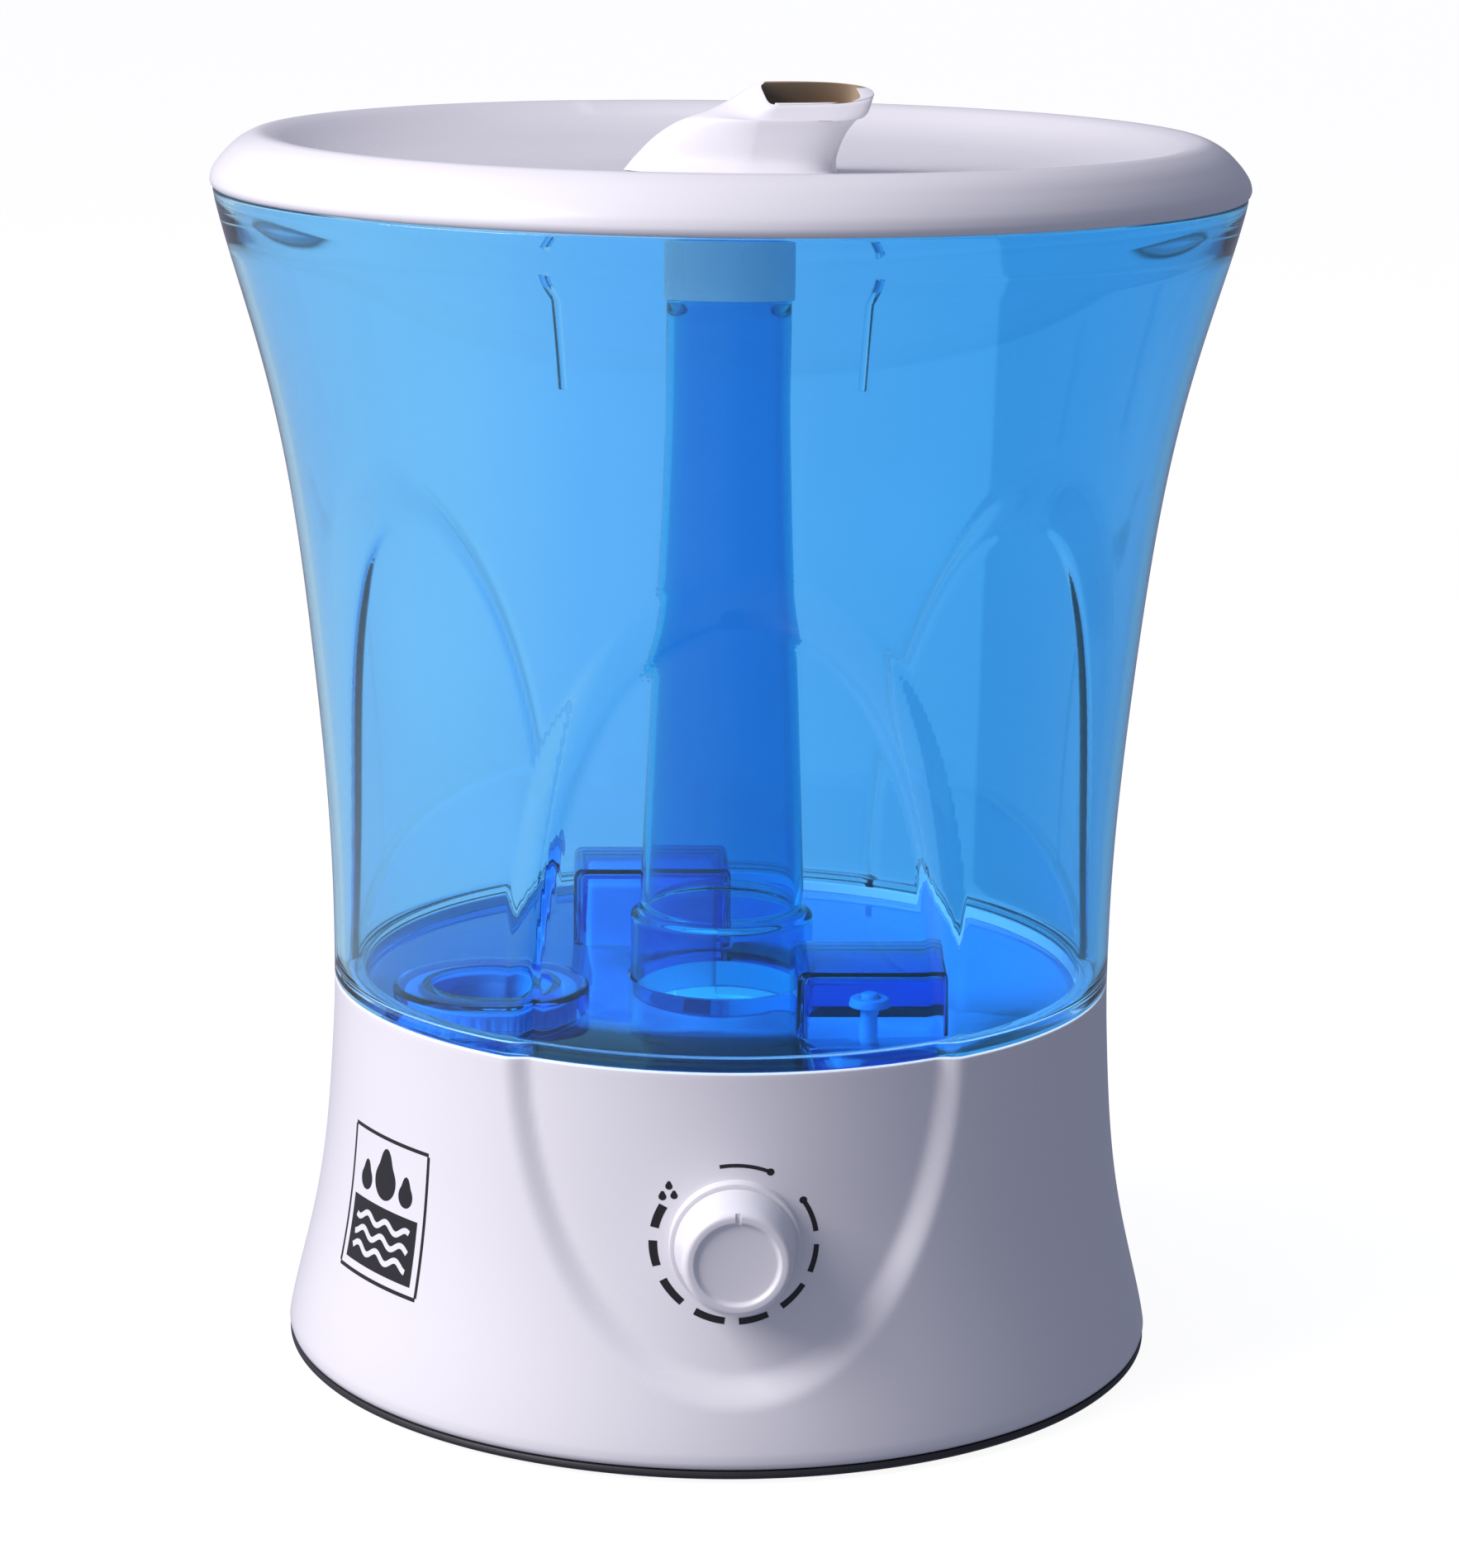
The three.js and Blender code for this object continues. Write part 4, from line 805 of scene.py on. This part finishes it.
# ------------------------------------------------------------------------ float
stands_for(lathe("float_body", soft([(3.1, 70.2, 0.3), (12.0, 70.2, 0.6), (13.0, 71.2, 0.6), (13.0, 87.0, 0.6), (12.0, 88.0, 0.6), (6.9, 88.0, 0.3), (6.9, 84.4), (3.1, 84.4)]), 96, move=(37, -45, 0)), "water_float")
stands_for(lathe("float_ring", soft([(3.1, 84.7, 0.3), (6.5, 84.7, 0.3), (6.5, 87.7, 0.4), (3.1, 87.7, 0.3)]), 72, move=(37, -45, 0)), "float_magnet")
stands_for(lathe("float_stop", soft([(2.8, 105.0, 0.2), (5.6, 105.0, 0.5), (5.0, 107.2, 0.5), (2.8, 107.2, 0.2)]), 64, move=(37, -45, 0)), "float_clip")

# -------------------------------------------------------------- dial mechanism
pot = turned_y("pot_body", soft([(3.2, -94.5), (3.2, -108.6, 0.2), (4.4, -108.6, 0.3), (4.4, -98.0), (6.5, -98.0, 0.4), (6.5, -88.6, 0.5), (0, -88.6), (0, -93.5), (3.2, -93.5)], closed=True)[:0] or
               soft([(0, -93.5), (3.2, -93.5), (3.2, -108.6, 0.2), (4.4, -108.6, 0.3), (4.4, -98.0), (6.5, -98.0, 0.4), (6.5, -88.6, 0.5), (0, -88.6)], closed=False), 0, 58.8, 64, closed=False)
stands_for(pot, "potentiometer")
grommet = turned_y("inlet_grommet", soft([(2.4, 105.5, 0.2), (4.4, 105.5, 0.3), (6.6, 107.5, 0.4), (6.6, 110.1, 0.3), (4.2, 110.1), (4.2, 117.2), (6.8, 117.2, 0.3), (6.8, 118.0, 0.4), (5.6, 119.2, 0.6), (2.4, 119.2, 0.5)]), 0, 18, 72)
turn(grommet, rot_z(168 - 180))
stands_for(grommet, "cable_grommet")

# clip ring of the nozzle stem
gap = 0.35
arc = np.linspace(gap, 2 * math.pi - gap, 96)
rows = []
sec = soft([(14.2, 300.2, 0.25), (15.7, 300.2, 0.3), (15.7, 302.2, 0.3), (14.2, 302.2, 0.25)])
sec = np.array(sec)
for i, a in enumerate(arc):
    ring = np.stack([sec[:, 0] * math.cos(a), sec[:, 0] * math.sin(a), sec[:, 1]], 1)
    if i == 0:
        rows.append(ring.mean(0)[None, :])
    rows.append(ring)
    if i == len(arc) - 1:
        rows.append(ring.mean(0)[None, :])
stands_for(rows_to_mesh("stem_clip", rows, False, 40), "nozzle_clip")

# --------------------------------------------- CAD nodes that keep their shape
for name, ob in frame["nodes"].items():
    if ob.hide_render:
        continue
    ob.data.materials.clear()
    ob.data.materials.append(MAT[SLOT[name]])
    shade(ob, 30)
    bev = ob.modifiers.new("edge", "BEVEL")
    bev.width = 0.00028
    bev.segments = 2
    bev.limit_method = "ANGLE"
    bev.angle_limit = math.radians(40)
    bev.use_clamp_overlap = True
    bev.harden_normals = False

# the clear parts let the light through to the pieces inside
for name in ("tank_shell", "tank_bottom", "riser_tube"):
    bpy.data.objects[name].visible_shadow = False

# ---------------------------------------------------------------- studio, light
# one smooth cove: floor disc that curves up into a wall far away
rows = [np.array([[0.0, 0.0, 0.0]])]
az = np.linspace(0, 2 * math.pi, 96, endpoint=False)
cove = [(r, 0.0) for r in (300, 600, 1200, 2400, 4200)]
for s in np.linspace(0, 1, 14):
    t = s * math.pi / 2
    cove.append((5200 + 2200 * math.sin(t), 2200 * (1 - math.cos(t))))
cove += [(7400, 4200), (7000, 6000), (5200, 7400), (2600, 8200), (1.0, 8400)]
for r, z in cove:
    rows.append(np.stack([r * np.sin(az), -r * np.cos(az), np.full(96, z)], 1))
studio = rows_to_mesh("studio_cove", rows, False, 60)
m, nt, b = new_material("studio_paper")
n, l = nt.nodes, nt.links
tc = n.new("ShaderNodeTexCoord")
noise = n.new("ShaderNodeTexNoise"); noise.inputs["Scale"].default_value = 400
l.new(tc.outputs["Object"], noise.inputs["Vector"])
bump = n.new("ShaderNodeBump"); bump.inputs["Strength"].default_value = 0.02; bump.inputs["Distance"].default_value = 0.0005
l.new(noise.outputs["Fac"], bump.inputs["Height"])
l.new(bump.outputs["Normal"], b.inputs["Normal"])
b.inputs["Base Color"].default_value = (0.16, 0.16, 0.16, 1)
b.inputs["Roughness"].default_value = 0.9
b.inputs["Specular IOR Level"].default_value = 0.1
b.inputs["Emission Color"].default_value = (1, 1, 1, 1)
b.inputs["Emission Strength"].default_value = 0.93
m.cycles.emission_sampling = "NONE"
studio.data.materials.append(m)
studio.visible_diffuse = False
studio.visible_glossy = False
studio.visible_transmission = False
studio.visible_shadow = False

# graded glowing surround that only shows through the clear parts: painted light and shade, pale on the left where the
# key light falls, deeper blue on the right in shade
rows = [np.array([[0.0, 0.0, -6.0]])]
for r, z in [(150, -6), (300, -6), (430, -6), (450, 10), (450, 150), (450, 300), (450, 500), (430, 700), (300, 820), (120, 860), (1, 870)]:
    rows.append(np.stack([r * np.sin(az), -r * np.cos(az), np.full(96, z)], 1))
surround = rows_to_mesh("studio_surround", rows[:-1] + [rows[-1]], False, 60)
m, nt, b = new_material("surround_painted_light")
n, l = nt.nodes, nt.links
tc = n.new("ShaderNodeTexCoord")
sep = n.new("ShaderNodeSeparateXYZ")
mr = n.new("ShaderNodeMapRange")
mr.inputs["From Min"].default_value = -0.16
mr.inputs["From Max"].default_value = 0.16
ramp = n.new("ShaderNodeValToRGB")
# painted light: the far left glows brighter than white, standing in for the key light seen through the tank
stops = [(-0.15, (1.15, 1.05, 1.0)), (-0.083, (1.0, 1.0, 1.0)), (-0.036, (0.68, 0.86, 1.0)), (0.028, (0.32, 0.68, 0.87)),
         (0.064, (0.25, 0.60, 0.78)), (0.122, (0.18, 0.54, 0.77))]
el = ramp.color_ramp.elements
for i, (x, c) in enumerate(stops):
    e = el[i] if i < 2 else el.new(0.5)
    e.position = (x + 0.16) / 0.32
for i, (x, c) in enumerate(stops):
    el[i].color = (*c, 1)
l.new(tc.outputs["Object"], sep.inputs["Vector"])
l.new(sep.outputs["X"], mr.inputs["Value"])
l.new(mr.outputs["Result"], ramp.inputs["Fac"])
l.new(ramp.outputs["Color"], b.inputs["Emission Color"])
b.inputs["Emission Strength"].default_value = 1.0
b.inputs["Base Color"].default_value = (0.02, 0.02, 0.02, 1)
b.inputs["Roughness"].default_value = 1.0
b.inputs["Specular IOR Level"].default_value = 0.0
m.cycles.emission_sampling = "NONE"
surround.data.materials.append(m)
surround.visible_camera = False
surround.visible_diffuse = False
surround.visible_glossy = False
surround.visible_shadow = False
surround.visible_volume_scatter = False

world = bpy.data.worlds.new("studio_world")
scene.world = world
world.use_nodes = True
wn, wl = world.node_tree.nodes, world.node_tree.links
bg = wn["Background"]
wtc = wn.new("ShaderNodeTexCoord")
dot = wn.new("ShaderNodeVectorMath"); dot.operation = "DOT_PRODUCT"
bright_dir = Vector((-0.90, -0.20, 0.38)).normalized()
dot.inputs[1].default_value = bright_dir
wl.new(wtc.outputs["Generated"], dot.inputs[0])
wr = wn.new("ShaderNodeValToRGB")
wr.color_ramp.elements[0].position = 0.0
wr.color_ramp.elements[0].color = (0.16, 0.18, 0.25, 1)
wr.color_ramp.elements[1].position = 1.0
wr.color_ramp.elements[1].color = (0.42, 0.41, 0.50, 1)
e = wr.color_ramp.elements.new(0.5)
e.color = (0.24, 0.25, 0.34, 1)
mrange = wn.new("ShaderNodeMapRange")
mrange.inputs["From Min"].default_value = -1.0
mrange.inputs["From Max"].default_value = 1.0
wl.new(dot.outputs["Value"], mrange.inputs["Value"])
wl.new(mrange.outputs["Result"], wr.inputs["Fac"])
wl.new(wr.outputs["Color"], bg.inputs["Color"])
bg.inputs["Strength"].default_value = 1.0


def area(name, where, target, size, power, color=(1, 1, 1)):
    d = bpy.data.lights.new(name, "AREA")
    d.shape = "RECTANGLE"
    d.size, d.size_y = size
    d.energy = power
    d.color = color
    o = bpy.data.objects.new(name, d)
    scene.collection.objects.link(o)
    o.location = where
    o.rotation_mode = "QUATERNION"
    o.rotation_quaternion = (Vector(target) - Vector(where)).to_track_quat("-Z", "Y")
    return o


area("key_left", (-1.50, -0.62, 1.36), (0, 0, 0.2), (1.2, 1.2), 47, (1.0, 0.95, 0.98))

scene.view_settings.view_transform = "Standard"
scene.view_settings.look = "None"
scene.view_settings.exposure = 0.0
scene.view_settings.gamma = 1.0
cy = scene.cycles
cy.max_bounces = 20
cy.transmission_bounces = 18
cy.transparent_max_bounces = 12
cy.glossy_bounces = 6
cy.diffuse_bounces = 4
cy.caustics_reflective = True
cy.caustics_refractive = True
cy.sample_clamp_indirect = 6.0
cy.use_denoising = True

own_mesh(spring)
